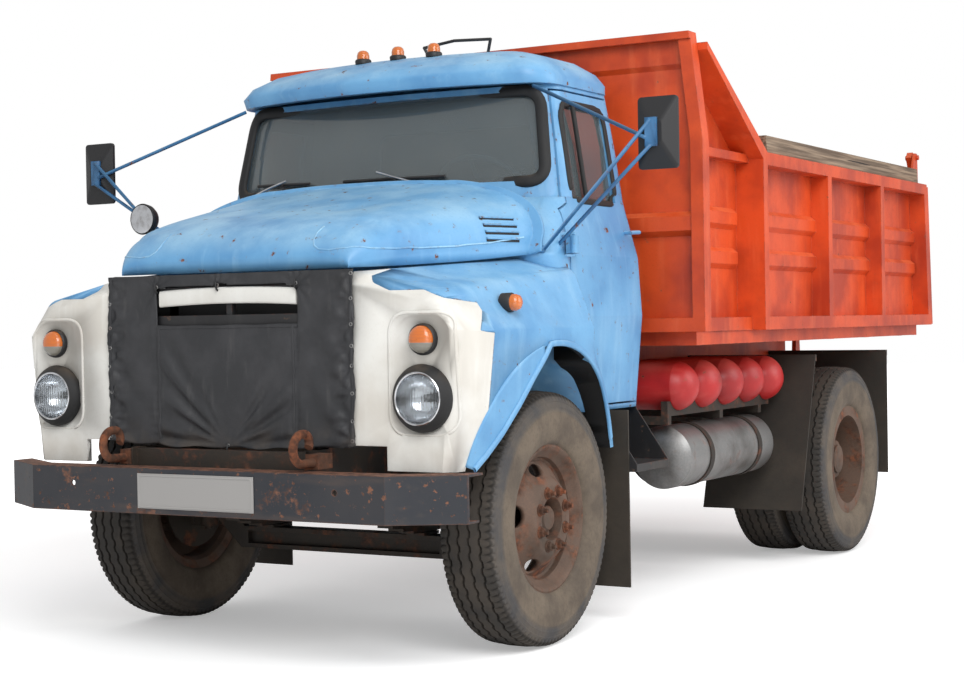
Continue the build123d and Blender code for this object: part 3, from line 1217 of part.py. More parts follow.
# Floor and its cross-members, beams, hinge lugs and ram lugs
floor = box(-(INSET_HALF - SHEET - FIT), INSET_HALF - SHEET - FIT, HEAD_REAR, rear_y(FLOOR_TOP) - 4, BED_BOTTOM, FLOOR_TOP)
floor += box(-(SKIN_HALF - SHEET - FIT), SKIN_HALF - SHEET - FIT, BED_CORNER + POST_WIDTH + FIT,
             rear_y(FLOOR_TOP) - 4, BED_BOTTOM, FLOOR_TOP)
save("bed_floor", floor)
BEAM_LOW = SUBFRAME_TOP + 18
MEMBER_LOW = 1200
MEMBER_YS = (1180, 1790, 2400, 3010, TIP_Y - 640 - 30, TIP_Y - 30, 4570)
under = pair(box(RAIL_HALF - 72, RAIL_HALF - 4, MEMBER_YS[0], TIP_Y - 40, BEAM_LOW, MEMBER_LOW))
for y in MEMBER_YS:
    under.append(box(-1150, 1150, y, y + 60, MEMBER_LOW - 1, BED_BOTTOM - FIT))
under.append(box(-1150, -1120, MEMBER_YS[0], MEMBER_YS[-1] + 60, MEMBER_LOW, BED_BOTTOM - FIT))
under.append(box(1120, 1150, MEMBER_YS[0], MEMBER_YS[-1] + 60, MEMBER_LOW, BED_BOTTOM - FIT))
for side in (1, -1):
    lug_plate = prism([(TIP_Y - 30, MEMBER_LOW), (TIP_Y + 30, MEMBER_LOW), (TIP_Y + 44, TIP_Z - 10),
                       (TIP_Y + 20, TIP_Z - 44), (TIP_Y - 20, TIP_Z - 44), (TIP_Y - 44, TIP_Z - 10)],
                      "x", HINGE_X, HINGE_X + 26, radius=12)
    lug_plate -= rod((HINGE_X - 1, TIP_Y, TIP_Z), (HINGE_X + 27, TIP_Y, TIP_Z), TIP_PIN + FIT)
    under.append(lug_plate if side == 1 else other_side(lug_plate))
    near = 54
    ram_lug = prism([(RAM_EYE_Y - 46, MEMBER_LOW + 2), (RAM_EYE_Y + 150, MEMBER_LOW + 2), (RAM_EYE_Y + 60, RAM_EYE_Z - 34),
                     (RAM_EYE_Y - 36, RAM_EYE_Z - 34)], "x", near, near + 16, radius=8)
    ram_lug -= rod((near - 1, RAM_EYE_Y, RAM_EYE_Z), (near + 17, RAM_EYE_Y, RAM_EYE_Z), 20)
    under.append(ram_lug if side == 1 else other_side(ram_lug))
save("bed_frame", fuse(under))

# Tailgate, hung from its top corners
GATE_GAP = 7
GATE_THICK = 52
GATE_HALF = BED_HALF - 10
gate_low, gate_high = BED_BOTTOM + 4, RAIL_CAP - 12


def gate_strip(low, high, front, rear, x0, x1):
    """Strip of the tailgate between two heights, at distances behind the bed's rear edge."""
    return prism([(rear_y(low) + front, low), (rear_y(low) + rear, low), (rear_y(high) + rear, high),
                  (rear_y(high) + front, high)], "x", x0, x1)


gate = [gate_strip(gate_low, gate_high, GATE_GAP, GATE_GAP + 18, -GATE_HALF, GATE_HALF)]
for low, high in ((gate_low, gate_low + 60), (1590, 1650), (1800, 1860), (gate_high - 60, gate_high)):
    gate.append(gate_strip(low, high, GATE_GAP, GATE_GAP + GATE_THICK, -GATE_HALF, GATE_HALF))
for x in (-GATE_HALF, -440, 380, GATE_HALF - 60):
    gate.append(gate_strip(gate_low, gate_high, GATE_GAP, GATE_GAP + GATE_THICK, x, x + 60))
for side in (1, -1):
    arm = prism([(rear_y(1950) + GATE_GAP + 6, 1950), (rear_y(1950) + GATE_GAP + GATE_THICK, 1950),
                 (BED_REAR + GATE_GAP + GATE_THICK, RAIL_CAP + 30), (GATE_Y + 34, GATE_Z + 20),
                 (GATE_Y, GATE_Z + 34), (GATE_Y - 34, GATE_Z), (GATE_Y - 10, GATE_Z - 34),
                 (BED_REAR + GATE_GAP, RAIL_CAP + 4), (BED_REAR + GATE_GAP + 6, RAIL_CAP - 20)],
                "x", SKIN_HALF - 12, SKIN_HALF + 24)
    arm -= rod((SKIN_HALF - 30, GATE_Y, GATE_Z), (SKIN_HALF + 40, GATE_Y, GATE_Z), GATE_PIN + FIT)
    gate.append(arm if side == 1 else other_side(arm))
save("tailgate", fuse(gate))

# Tipping ram: barrel on its pin between the rails, piston rod with an eye in the bed's lugs
ram_axis = Vector(0, RAM_EYE_Y - RAM_Y, RAM_EYE_Z - RAM_Z)
RAM_LENGTH = ram_axis.length
ram_way = ram_axis.normalized()
BARREL_RADIUS = 70
BORE_RADIUS = 56
ROD_RADIUS = 34
BARREL_LENGTH = 950
GLAND = 60


def along(distance):
    """Point on the ram's axis at a distance from its lower pin."""
    return (0, RAM_Y + ram_way.Y * distance, RAM_Z + ram_way.Z * distance)


barrel = rod(along(92), along(BARREL_LENGTH), BARREL_RADIUS)
barrel += rod((-52, RAM_Y, RAM_Z), (52, RAM_Y, RAM_Z), 46)
barrel += rod(along(10), along(100), 46)
barrel -= rod(along(112), along(BARREL_LENGTH - GLAND), BORE_RADIUS)
barrel -= rod(along(200), along(BARREL_LENGTH + 1), ROD_RADIUS + FIT)
barrel -= rod((-60, RAM_Y, RAM_Z), (60, RAM_Y, RAM_Z), TIP_PIN + FIT)
save("ram_barrel", barrel)
piston = rod(along(130), along(190), BORE_RADIUS - FIT)
piston += rod(along(180), along(RAM_LENGTH - 10), ROD_RADIUS)
piston += rod((-46, RAM_EYE_Y, RAM_EYE_Z), (46, RAM_EYE_Y, RAM_EYE_Z), 38)
piston -= rod((-50, RAM_EYE_Y, RAM_EYE_Z), (50, RAM_EYE_Y, RAM_EYE_Z), 20)
save("ram_rod", piston)
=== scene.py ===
"""Weathered bonneted dump truck: materials, detailed pieces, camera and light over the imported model."""

import json
from math import atan2, cos, hypot, pi, radians, sin

import bmesh
import bpy
from mathutils import Matrix, Vector
from mathutils.bvhtree import BVHTree


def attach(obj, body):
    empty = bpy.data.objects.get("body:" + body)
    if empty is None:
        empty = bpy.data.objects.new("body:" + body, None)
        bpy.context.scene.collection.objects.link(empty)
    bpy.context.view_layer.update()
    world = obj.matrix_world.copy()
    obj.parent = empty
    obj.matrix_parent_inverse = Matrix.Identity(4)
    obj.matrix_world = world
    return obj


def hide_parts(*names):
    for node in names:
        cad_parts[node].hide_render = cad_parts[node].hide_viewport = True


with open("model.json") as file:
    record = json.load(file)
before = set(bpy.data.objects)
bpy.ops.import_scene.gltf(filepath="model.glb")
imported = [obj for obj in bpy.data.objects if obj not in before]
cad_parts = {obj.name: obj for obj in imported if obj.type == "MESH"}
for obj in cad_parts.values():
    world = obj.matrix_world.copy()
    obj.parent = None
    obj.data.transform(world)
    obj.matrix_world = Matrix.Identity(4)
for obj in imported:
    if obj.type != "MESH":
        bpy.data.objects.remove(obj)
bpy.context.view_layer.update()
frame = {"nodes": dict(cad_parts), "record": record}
nodes = frame["nodes"]

# Stations along the truck are measured from the front axle, as in the part's source; the row's
# origin lies this far behind it.
ORIGIN_Y = 1.862
WHEELBASE = 3.300
TYRE_RADIUS = 0.520
FRONT_TYRE_X = 0.900


def at(x, y, z):
    """Point given by its distance from the front axle, in the row's frame."""
    return Vector((x, y - ORIGIN_Y, z))


def srgb(red, green, blue):
    """Linear colour from the 0 to 255 values seen on a screen."""
    def linear(value):
        value /= 255
        return value / 12.92 if value <= 0.04045 else ((value + 0.055) / 1.055) ** 2.4
    return (linear(red), linear(green), linear(blue), 1.0)


# Shader maths


class Value:
    """A shader socket that adds its nodes when it stands in a Python expression."""

    def __init__(self, finish, socket):
        self.finish = finish
        self.socket = socket

    def maths(self, operation, *others):
        return self.finish.node("ShaderNodeMath", {"operation": operation}, dict(enumerate((self, *others))))

    def __add__(self, other):
        return self.maths("ADD", other)

    def __sub__(self, other):
        return self.maths("SUBTRACT", other)

    def __rsub__(self, other):
        return self.finish.node("ShaderNodeMath", {"operation": "SUBTRACT"}, {0: other, 1: self})

    def __mul__(self, other):
        return self.maths("MULTIPLY", other)

    __radd__ = __add__
    __rmul__ = __mul__

    def over(self, low, high):
        """Rises smoothly from 0 at low to 1 at high, or falls where low is the greater."""
        return self.finish.node("ShaderNodeMapRange", {"interpolation_type": "SMOOTHSTEP"},
                                {"Value": self, "From Min": low, "From Max": high})

    def most(self, other):
        return self.maths("MAXIMUM", other)


class Finish:
    """A procedural material being built up round one Principled shader."""

    def __init__(self, name, **constants):
        self.material = bpy.data.materials.new(name)
        self.material.use_nodes = True
        self.tree = self.material.node_tree
        self.shader = self.tree.nodes["Principled BSDF"]
        for socket, value in constants.items():
            self.shader.inputs[socket.replace("_", " ")].default_value = value
        self.place = self.node("ShaderNodeTexCoord", out="Object")
        self.x, self.y, self.z = self.split(self.place)
        self.upward = self.split(self.node("ShaderNodeNewGeometry", out="Normal"))[2]

    def node(self, kind, settings=None, values=None, out=0):
        """Adds a node with its settings, then its sockets' values or links, and gives one output."""
        node = self.tree.nodes.new(kind)
        for key, value in (settings or {}).items():
            setattr(node, key, value)
        for key, value in (values or {}).items():
            if isinstance(value, Value):
                self.tree.links.new(value.socket, node.inputs[key])
            else:
                node.inputs[key].default_value = value
        return Value(self, node.outputs[out])

    def split(self, vector):
        """The three numbers of a vector."""
        first = self.node("ShaderNodeSeparateXYZ", values={0: vector})
        return [Value(self, socket) for socket in first.socket.node.outputs]

    def stretched(self, along, scale, squeeze=0.12):
        """Place squeezed along one axis, so that a texture on it streaks that way."""
        factors = [scale, scale, scale]
        factors["xyz".index(along)] = scale * squeeze
        return self.node("ShaderNodeVectorMath", {"operation": "MULTIPLY"}, {0: self.place, 1: factors})

    def noise(self, scale, detail=3.0, rough=0.55, vector=None):
        """Cloudy noise about 0.5."""
        return self.node("ShaderNodeTexNoise", None, {
            "Vector": vector or self.place, "Scale": scale, "Detail": detail, "Roughness": rough})

    def streaks(self, along, scale, detail=3.0, squeeze=0.12):
        """Noise drawn out along one axis."""
        return self.noise(1.0, detail, vector=self.stretched(along, scale, squeeze))

    def mix(self, mask, low, high):
        """Colour that turns from low to high as the mask goes from 0 to 1."""
        return self.node("ShaderNodeMix", {"data_type": "RGBA"}, {0: mask, 6: low, 7: high}, out=2)

    def bump(self, height, distance, strength=1.0, under=None):
        """Surface relief from a height value."""
        values = {"Height": height, "Distance": distance, "Strength": strength}
        if under:
            values["Normal"] = under
        return self.node("ShaderNodeBump", None, values)

    def round_edges(self, radius):
        """Normal with its sharp edges eased."""
        return self.node("ShaderNodeBevel", {"samples": 4}, {"Radius": radius})

    def edge_mask(self, radius, spread=0.25):
        """1 close to sharp edges, 0 on open faces."""
        eased = self.round_edges(radius)
        flat = self.node("ShaderNodeNewGeometry", out="Normal")
        likeness = self.node("ShaderNodeVectorMath", {"operation": "DOT_PRODUCT"}, {0: eased, 1: flat}, out="Value")
        return likeness.over(1.0 - 0.02, 1.0 - spread)

    def wear(self, **links):
        """Links values into the shader and gives the finished material."""
        for socket, value in links.items():
            self.tree.links.new(value.socket, self.shader.inputs[socket.replace("_", " ")])
        return self.material


# Finishes

RUST_DARK = srgb(62, 34, 22)
RUST_LIGHT = srgb(138, 78, 48)
DUST = srgb(122, 106, 88)
MUD = srgb(58, 49, 40)


def rust_colour(f):
    """Rust that wanders between dark brown and ochre."""
    return f.mix(f.noise(38, 5).over(0.35, 0.68), RUST_DARK, RUST_LIGHT)


def old_paint(name, colour, faded, deep, chips=0.64, edges=0.5, dirt_top=0.9, rough=0.42, streak="z", soft=0.004):
    """Painted sheet: faded on top, darker in patches, rusty at edges and chips, dusty low down."""
    f = Finish(name)
    tone = f.noise(2.6, 4).over(0.38, 0.66)
    base = f.mix(tone, colour, deep)
    base = f.mix(f.upward.over(0.2, 0.95) * f.noise(5, 4).over(0.25, 0.75), base, faded)
    run = f.streaks(streak, 16).over(0.52, 0.74)
    base = f.mix(run * 0.30, base, faded)
    fine = f.noise(90, 3)
    base = f.mix(fine.over(0.5, 0.8) * 0.25, base, deep)
    spots = f.noise(21, 6, 0.62)
    chip = spots.over(chips, chips + 0.025)
    halo = spots.over(chips - 0.05, chips + 0.01)
    edge = f.edge_mask(soft * 2.2) * f.noise(26, 5, 0.6).over(0.5, 0.62) * edges
    rusty = chip.most(edge)
    base = f.mix(halo * 0.35, base, srgb(128, 96, 70))
    base = f.mix(rusty, base, rust_colour(f))
    low = f.z.over(dirt_top, dirt_top - 0.55)
    grime = (low * f.noise(7, 5, 0.62).over(0.28, 0.72)) * 0.85
    base = f.mix(grime, base, DUST)
    surface = fine * 0.12 + spots * 0.10 + (rough - 0.1) + rusty * 0.35 + grime * 0.25
    relief = f.bump(rusty * -1.0 + f.noise(70, 4) * 0.35, 0.0012, 0.7, f.round_edges(soft))
    return f.wear(Base_Color=base, Roughness=surface, Normal=relief)


def rough_metal(name, colour, rusty_colour, rust=0.5, metallic=0.8, rough=0.5, soft=0.003):
    """Bare or thinly painted metal with broad rust and oily dirt."""
    f = Finish(name)
    patches = f.noise(9, 6, 0.62).over(rust - 0.12, rust + 0.12)
    grain = f.noise(120, 4)
    base = f.mix(grain.over(0.3, 0.75) * 0.5, colour, rusty_colour)
    base = f.mix(patches * 0.8, base, rust_colour(f))
    grime = f.noise(4, 5).over(0.42, 0.7) * f.z.over(1.3, 0.5)
    base = f.mix(grime * 0.7, base, MUD)
    metal = (1 - patches) * metallic
    surface = grain * 0.2 + patches * 0.3 + (rough - 0.1)
    relief = f.bump(grain * 0.6 + patches, 0.0012, 0.7, f.round_edges(soft))
    return f.wear(Base_Color=base, Roughness=surface, Metallic=metal, Normal=relief)


def dusty_rubber(name, colour, dust_amount=0.7):
    """Worn rubber with dust lying in it."""
    f = Finish(name)
    cloud = f.noise(2.2, 5, 0.6).over(0.3, 0.75)
    fine = f.noise(60, 5, 0.7)
    base = f.mix(cloud * dust_amount * 0.35, colour, DUST)
    base = f.mix(fine.over(0.5, 0.75) * 0.35 * dust_amount, base, MUD)
    surface = fine * 0.15 + 0.72
    return f.wear(Base_Color=base, Roughness=surface, Normal=f.bump(fine, 0.0015, 0.6))


def tyre_finish(name, axle_y):
    """Tyre rubber: brown dusty sidewalls, a darker blue-grey ring, a dark tread with dust in it, and painted shade in
    its grooves.
    """
    f = Finish(name)
    radius = f.node("ShaderNodeVectorMath", {"operation": "LENGTH"}, {0: f.node("ShaderNodeVectorMath", {
        "operation": "MULTIPLY"}, {0: f.node("ShaderNodeVectorMath", {"operation": "SUBTRACT"}, {
            0: f.place, 1: at(0, axle_y, TYRE_RADIUS)}), 1: (0, 1, 1)})}, out="Value")
    cloud = f.noise(7, 5, 0.6)
    fine = f.noise(70, 5, 0.7)
    base = f.mix(cloud.over(0.3, 0.7), srgb(80, 70, 60), srgb(106, 94, 80))
    ringed = radius.over(0.425, 0.450)
    base = f.mix(ringed, base, f.mix(cloud.over(0.35, 0.65), srgb(62, 61, 62), srgb(84, 77, 70)))
    tread = radius.over(0.492, 0.502)
    base = f.mix(tread, base, f.mix(cloud.over(0.3, 0.7), srgb(42, 39, 36), srgb(62, 55, 48)))
    # Near black in the tread's grooves and notched shoulders: painted shade
    groove = radius.over(0.5085, 0.5065) * tread
    base = f.mix(groove * 0.7, base, srgb(28, 25, 22))
    base = f.mix(fine.over(0.45, 0.75) * 0.35, base, srgb(62, 54, 46))
    return f.wear(Base_Color=base, Roughness=fine * 0.15 + 0.74, Normal=f.bump(fine + cloud, 0.002, 0.6))


def moulded(name, colour, rough=0.4):
    """Moulded plastic or gloss-painted small part with light dust."""
    f = Finish(name)
    fine = f.noise(140, 3)
    dust = f.upward.over(0.3, 1.0) * f.noise(12, 4).over(0.35, 0.7) * 0.35
    base = f.mix(dust, colour, DUST)
    return f.wear(Base_Color=base, Roughness=fine * 0.15 + rough + dust * 0.3, Normal=f.bump(fine, 0.0003, 0.5))


def window_glass(name):
    """Old grey glass with a thin film of dust."""
    f = Finish(name, Transmission_Weight=0.72, IOR=1.45, Coat_Weight=0.6)
    film = f.noise(3.2, 5, 0.6).over(0.35, 0.8) * 0.10 + 0.03
    base = f.mix(film * 3.0, srgb(126, 138, 142), srgb(158, 162, 160))
    return f.wear(Base_Color=base, Roughness=film * 0.25)


def lens_glass(name, flutes):
    """Clear pressed lens with upright flutes."""
    f = Finish(name, Transmission_Weight=1.0, IOR=1.45)
    ribs = f.node("ShaderNodeTexWave", {"bands_direction": "X"}, {"Vector": f.place, "Scale": flutes})
    dust = f.noise(40, 4).over(0.5, 0.8) * 0.25
    return f.wear(Base_Color=f.mix(dust, srgb(236, 240, 242), srgb(176, 176, 170)), Roughness=dust * 0.4 + 0.03,
                  Normal=f.bump(ribs, 0.002, 0.5))


def worn_bumper(name):
    """Blue-black painted steel, worn to brown along its top and speckled with rust."""
    f = Finish(name)
    base = f.mix(f.noise(3, 4).over(0.35, 0.7), srgb(34, 37, 44), srgb(46, 46, 50))
    base = f.mix(f.streaks("x", 14, 5, 0.2).over(0.52, 0.75) * 0.6, base, srgb(74, 62, 56))
    spots = f.noise(34, 6, 0.65).over(0.60, 0.645).most(f.noise(5, 7, 0.7).over(0.60, 0.66) * 0.85)
    top = f.upward.over(0.3, 0.8) * f.noise(11, 6, 0.6).over(0.22, 0.36)
    edge = f.edge_mask(0.009) * f.noise(18, 5, 0.6).over(0.34, 0.50)
    rusty = spots.most(top).most(edge)
    brown = f.mix(f.noise(26, 5).over(0.35, 0.65), srgb(72, 48, 38), srgb(122, 82, 62))
    base = f.mix(rusty, base, brown)
    relief = f.bump(rusty * -0.6 + f.noise(60, 4) * 0.4, 0.0014, 0.8, f.round_edges(0.005))
    return f.wear(Base_Color=base, Roughness=rusty * 0.3 + 0.48, Normal=relief)


def old_cloth(name):
    """Black coated canvas with a fine weave and worn grey creases."""
    f = Finish(name)
    weave = f.noise(420, 2)
    worn = f.noise(7, 5, 0.6).over(0.4, 0.72)
    base = f.mix(worn * 0.55, srgb(38, 39, 42), srgb(58, 58, 61))
    base = f.mix(f.streaks("z", 30, 5, 0.15).over(0.56, 0.78) * 0.35, base, srgb(78, 77, 77))
    base = f.mix(f.z.over(0.98, 0.80) * f.noise(9, 4).over(0.4, 0.7) * 0.5, base, srgb(88, 78, 68))
    relief = f.bump(weave * 0.4 + f.noise(26, 5, 0.6), 0.004, 0.55)
    return f.wear(Base_Color=base, Roughness=weave * 0.1 + 0.46, Normal=relief)


blue = old_paint("faded_blue_paint", srgb(104, 160, 202), srgb(144, 186, 214), srgb(82, 138, 184), chips=0.665,
                 edges=0.9)
arm_blue = old_paint("arm_blue_paint", srgb(58, 112, 156), srgb(84, 136, 174), srgb(40, 82, 122), chips=0.66)
# Paler blue for the bonnet creases: a painted highlight along them, with chips of rust
crease_highlight_blue = old_paint("crease_highlight_blue_paint", srgb(150, 196, 222), srgb(150, 192, 220), srgb(92, 148, 192), chips=0.70)
cream = old_paint("cream_paint", srgb(214, 213, 208), srgb(226, 226, 222), srgb(196, 192, 184), chips=0.74,
                  dirt_top=0.95)
orange = old_paint("orange_paint", srgb(206, 74, 26), srgb(220, 104, 60), srgb(164, 50, 18), chips=0.70, edges=0.8)
bumper_paint = worn_bumper("worn_bumper_paint")
chassis = rough_metal("chassis_steel", srgb(40, 36, 32), srgb(60, 50, 42), rust=0.6, metallic=0.2, rough=0.65)
iron = rough_metal("dirty_cast_iron", srgb(48, 42, 36), srgb(70, 58, 46), rust=0.6, metallic=0.2, rough=0.7)
rusty = rough_metal("rusty_iron", srgb(92, 60, 44), srgb(110, 74, 52), rust=0.42, metallic=0.1, rough=0.75)
wheel_paint = rough_metal("rusty_wheel", srgb(92, 72, 60), srgb(112, 88, 72), rust=0.58, metallic=0.05, rough=0.7)
rear_wheel_paint = rough_metal("dusty_rear_wheel", srgb(98, 84, 68), srgb(120, 104, 84), rust=0.62, metallic=0.05,
                               rough=0.75)
tank_steel = rough_metal("tank_steel", srgb(134, 134, 134), srgb(160, 158, 154), rust=0.66, metallic=0.75, rough=0.42)
red = old_paint("red_cylinder_paint", srgb(178, 34, 34), srgb(196, 84, 76), srgb(138, 22, 24), chips=0.7,
                dirt_top=0.9, streak="x")
black_steel = old_paint("black_paint", srgb(34, 34, 36), srgb(62, 60, 58), srgb(22, 22, 24), chips=0.68,
                        dirt_top=0.8, rough=0.5)
rubber = dusty_rubber("flap_rubber", srgb(40, 36, 31), 0.5)
tyre_rubber = tyre_finish("front_tyre_rubber", 0.0)
rear_tyre_rubber = tyre_finish("rear_tyre_rubber", WHEELBASE)
cloth = old_cloth("black_canvas")
# Near-black rubber for seals and lamp surrounds, also used as painted shade in the wheel arches, under the louvre
# hoods and behind the cover's opening
seal_rubber_and_shade = moulded("seal_rubber_and_shade", srgb(22, 22, 23), 0.6)
black_plastic = moulded("black_plastic", srgb(28, 28, 30), 0.45)
pale_plastic = moulded("pale_plastic", srgb(170, 188, 200), 0.35)
leather = moulded("leathercloth", srgb(60, 54, 50), 0.6)
glass = window_glass("window_glass")
lens = lens_glass("lamp_lens", 26.0)
plate_grey = moulded("blank_plate", srgb(150, 148, 146), 0.5)


def wood_finish():
    """Weathered grey-brown boards with grain along the truck."""
    f = Finish("weathered_wood")
    grain = f.streaks("y", 70, 5, 0.025)
    broad = f.streaks("y", 9, 3, 0.08)
    base = f.mix(grain.over(0.35, 0.68), srgb(86, 70, 56), srgb(148, 128, 108))
    base = f.mix(broad.over(0.45, 0.7) * 0.5, base, srgb(124, 94, 72))
    crack = f.streaks("y", 40, 2, 0.02).over(0.66, 0.70)
    base = f.mix(crack, base, srgb(40, 30, 24))
    relief = f.bump(grain - crack, 0.003, 0.8, f.round_edges(0.006))
    return f.wear(Base_Color=base, Roughness=grain * 0.2 + 0.7, Normal=relief)


def two_colour_lens(name, split, low, high):
    """Ribbed lens in one colour below a height and another above it, with painted shade in dark stripes along its
    ribs.
    """
    f = Finish(name, Coat_Weight=1.0, Coat_Roughness=0.05)
    ribs = f.node("ShaderNodeTexWave", {"bands_direction": "Z"}, {"Vector": f.place, "Scale": 60.0})
    base = f.mix(f.z.over(split - 0.001, split + 0.001), low, high)
    # Dark brown stripes along the ribs: painted shade of the ribs
    base = f.mix(ribs * 0.35, base, srgb(70, 40, 20))
    return f.wear(Base_Color=base, Roughness=ribs * 0.1 + 0.18, Normal=f.bump(ribs, 0.002, 0.5))


wood = wood_finish()
amber = srgb(216, 110, 22)
indicator_lens = two_colour_lens("indicator_lens", 1.250, srgb(136, 134, 124), amber)
amber_lens = two_colour_lens("amber_lens", 0.0, amber, amber)
red_lens = two_colour_lens("red_lens", 0.0, srgb(120, 12, 10), srgb(120, 12, 10))
chrome = Finish("chrome", Metallic=1.0)
chrome = chrome.wear(
    Base_Color=chrome.mix(chrome.noise(30, 4).over(0.4, 0.7) * 0.4, srgb(214, 216, 220), srgb(120, 112, 104)),
    Roughness=chrome.noise(40, 4) * 0.2 + 0.08)

finishes = {
    "blue_paint": blue, "cream_paint": cream, "orange_paint": orange, "bumper_paint": bumper_paint,
    "chassis_steel": chassis, "black_steel": black_steel, "ram_paint": iron, "wheel_paint": wheel_paint,
    "red_paint": red, "grey_steel": tank_steel, "bright_steel": chrome, "spring_steel": chassis,
    "rusty_iron": rusty, "cast_iron": iron, "tyre": tyre_rubber, "black_rubber": rubber,
    "black_plastic": black_plastic, "pale_plastic": pale_plastic, "amber_plastic": amber_lens,
    "lamp_glass": chrome, "window_glass": glass, "black_cloth": cloth, "seat_leather": leather,
    "weathered_wood": wood,
}
for part in frame["record"]["subparts"]:
    material = finishes[part["material_slot"]]
    for slot in nodes[part["node"]].material_slots:
        slot.material = material
for slot in nodes["grille"].material_slots:
    slot.material = black_steel
slot_of = {material.name: name for name, material in reversed(finishes.items())}
slot_of.update({
    lens.name: "lamp_glass", indicator_lens.name: "amber_plastic", red_lens.name: "amber_plastic",
    seal_rubber_and_shade.name: "black_rubber", rear_tyre_rubber.name: "tyre", crease_highlight_blue.name: "blue_paint",
    arm_blue.name: "blue_paint", plate_grey.name: "grey_steel", rear_wheel_paint.name: "wheel_paint"})

# Making pieces

SIDES = ((1, "left"), (-1, "right"))
# A band's section: shares of its half width and its height
BAND_SECTION = ((-1, -0.4), (-1, 0.35), (-0.75, 0.85), (0, 1.0), (0.75, 0.85), (1, 0.35), (1, -0.4))
FORWARD = Vector((0, -1, 0))


def shown(name, mesh, angle):
    """Object for a mesh, shaded round but for edges sharper than the angle in degrees."""
    mesh.polygons.foreach_set("use_smooth", [True] * len(mesh.polygons))
    mesh.set_sharp_from_angle(angle=radians(angle))
    made = bpy.data.objects.new(name, mesh)
    bpy.context.collection.objects.link(made)
    return made


class Shape:
    """Points and faces of one piece, gathered from simpler runs of mesh."""

    def __init__(self):
        self.points = []
        self.faces = []

    def grid(self, rows, around=False, along=False):
        """Quads between rows of points; around closes each row, along joins the last row to the first."""
        start = len(self.points)
        width = len(rows[0])
        for row in rows:
            self.points += [Vector(point) for point in row]
        last_row = len(rows) if along else len(rows) - 1
        last_point = width if around else width - 1
        for i in range(last_row):
            near, far = start + i * width, start + (i + 1) % len(rows) * width
            for k in range(last_point):
                m = (k + 1) % width
                self.faces.append((near + k, near + m, far + m, far + k))
        return self

    def turned(self, profile, centre, axis="x", steps=48, twist=None):
        """Solid turned about an axis from (offset, radius) points; twist may change the profile by step."""
        rows = []
        for step in range(steps):
            angle = 2 * pi * step / steps
            row = []
            for u, r in (twist(profile, step) if twist else profile):
                across = (r * cos(angle), r * sin(angle))
                row.append(Vector(centre) + Vector({
                    "x": (u, *across), "y": (across[0], u, across[1]), "z": (*across, u)}[axis]))
            rows.append(row)
        return self.grid(rows, along=True)

    def tube(self, path, radius, sides=10):
        """Round bar along a path, closed at both ends."""
        path = [Vector(point) for point in path]
        rows = []
        side = None
        for index, point in enumerate(path):
            way = (path[min(index + 1, len(path) - 1)] - path[max(index - 1, 0)]).normalized()
            if side is None:
                side = way.orthogonal().normalized()
            side = (side - way * side.dot(way)).normalized()
            other = way.cross(side)
            rows.append([point + (side * cos(a) + other * sin(a)) * radius
                         for a in (2 * pi * k / sides for k in range(sides))])
        start = len(self.points)
        self.grid(rows, around=True)
        self.faces.append(tuple(start + k for k in reversed(range(sides))))
        self.faces.append(tuple(start + (len(rows) - 1) * sides + k for k in range(sides)))
        return self

    def band(self, path, outward, half_width, height, closed=True):
        """Low rounded strip lying along a path, on a surface whose normals are given."""
        rows = []
        last = len(path) - 1
        for index, (point, normal) in enumerate(zip(path, outward)):
            before = path[index - 1] if closed or index else path[0]
            after = path[(index + 1) % len(path)] if closed else path[min(index + 1, last)]
            side = (Vector(after) - Vector(before)).cross(normal).normalized()
            rows.append([Vector(point) + side * (u * half_width) + Vector(normal) * (h * height)
                         for u, h in BAND_SECTION])
        return self.grid(rows, around=True, along=closed)

    def block(self, low, high):
        """Block between two opposite corners."""
        start = len(self.points)
        self.points += [Vector((x, y, z)) for x in (low[0], high[0]) for y in (low[1], high[1])
                        for z in (low[2], high[2])]
        self.faces += [tuple(start + k for k in face) for face in (
            (0, 1, 3, 2), (4, 6, 7, 5), (0, 4, 5, 1), (2, 3, 7, 6), (0, 2, 6, 4), (1, 5, 7, 3))]
        return self

    def nut(self, foot, way, radius, height, stud=0.0):
        """Six-sided nut standing on a face, with a chamfered top and a stud's end."""
        way = Vector(way).normalized()
        side = way.orthogonal().normalized()
        other = way.cross(side)
        foot = Vector(foot)
        rows = []
        rings = [(0.0, radius), (height * 0.8, radius), (height, radius * 0.82)]
        if stud:
            rings += [(height, radius * 0.52), (height + stud, radius * 0.5), (height + stud * 1.1, radius * 0.3)]
        for rise, reach in rings:
            rows.append([foot + way * rise + (side * cos(a) + other * sin(a)) * reach
                         for a in (pi / 3 * k for k in range(6))])
        start = len(self.points)
        self.grid(rows, around=True)
        self.faces.append(tuple(start + (len(rows) - 1) * 6 + k for k in range(6)))
        return self

    def mirrored(self):
        """Adds the same shape on the truck's other side."""
        start = len(self.points)
        self.points += [Vector((-p.x, p.y, p.z)) for p in self.points]
        self.faces += [tuple(start + k for k in reversed(face)) for face in self.faces[:]]
        return self

    def piece(self, name, material, body, bevel=0.0, thick=0.0, smooth=40, stands_for=()):
        """Makes the object, with its modifiers, finish and body."""
        mesh = bpy.data.meshes.new(name)
        mesh.from_pydata(self.points, [], self.faces)
        work = bmesh.new()
        work.from_mesh(mesh)
        bmesh.ops.recalc_face_normals(work, faces=work.faces)
        work.to_mesh(mesh)
        work.free()
        mesh.materials.append(material)
        made = shown(name, mesh, smooth)
        if thick:
            skin = made.modifiers.new("thickness", "SOLIDIFY")
            skin.thickness = thick
            skin.offset = -1
        if bevel:
            edge = made.modifiers.new("edges", "BEVEL")
            edge.width = bevel
            edge.segments = 2
            edge.limit_method = "ANGLE"
        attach(made, body)
        if stands_for:
            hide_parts(*stands_for)
        return made


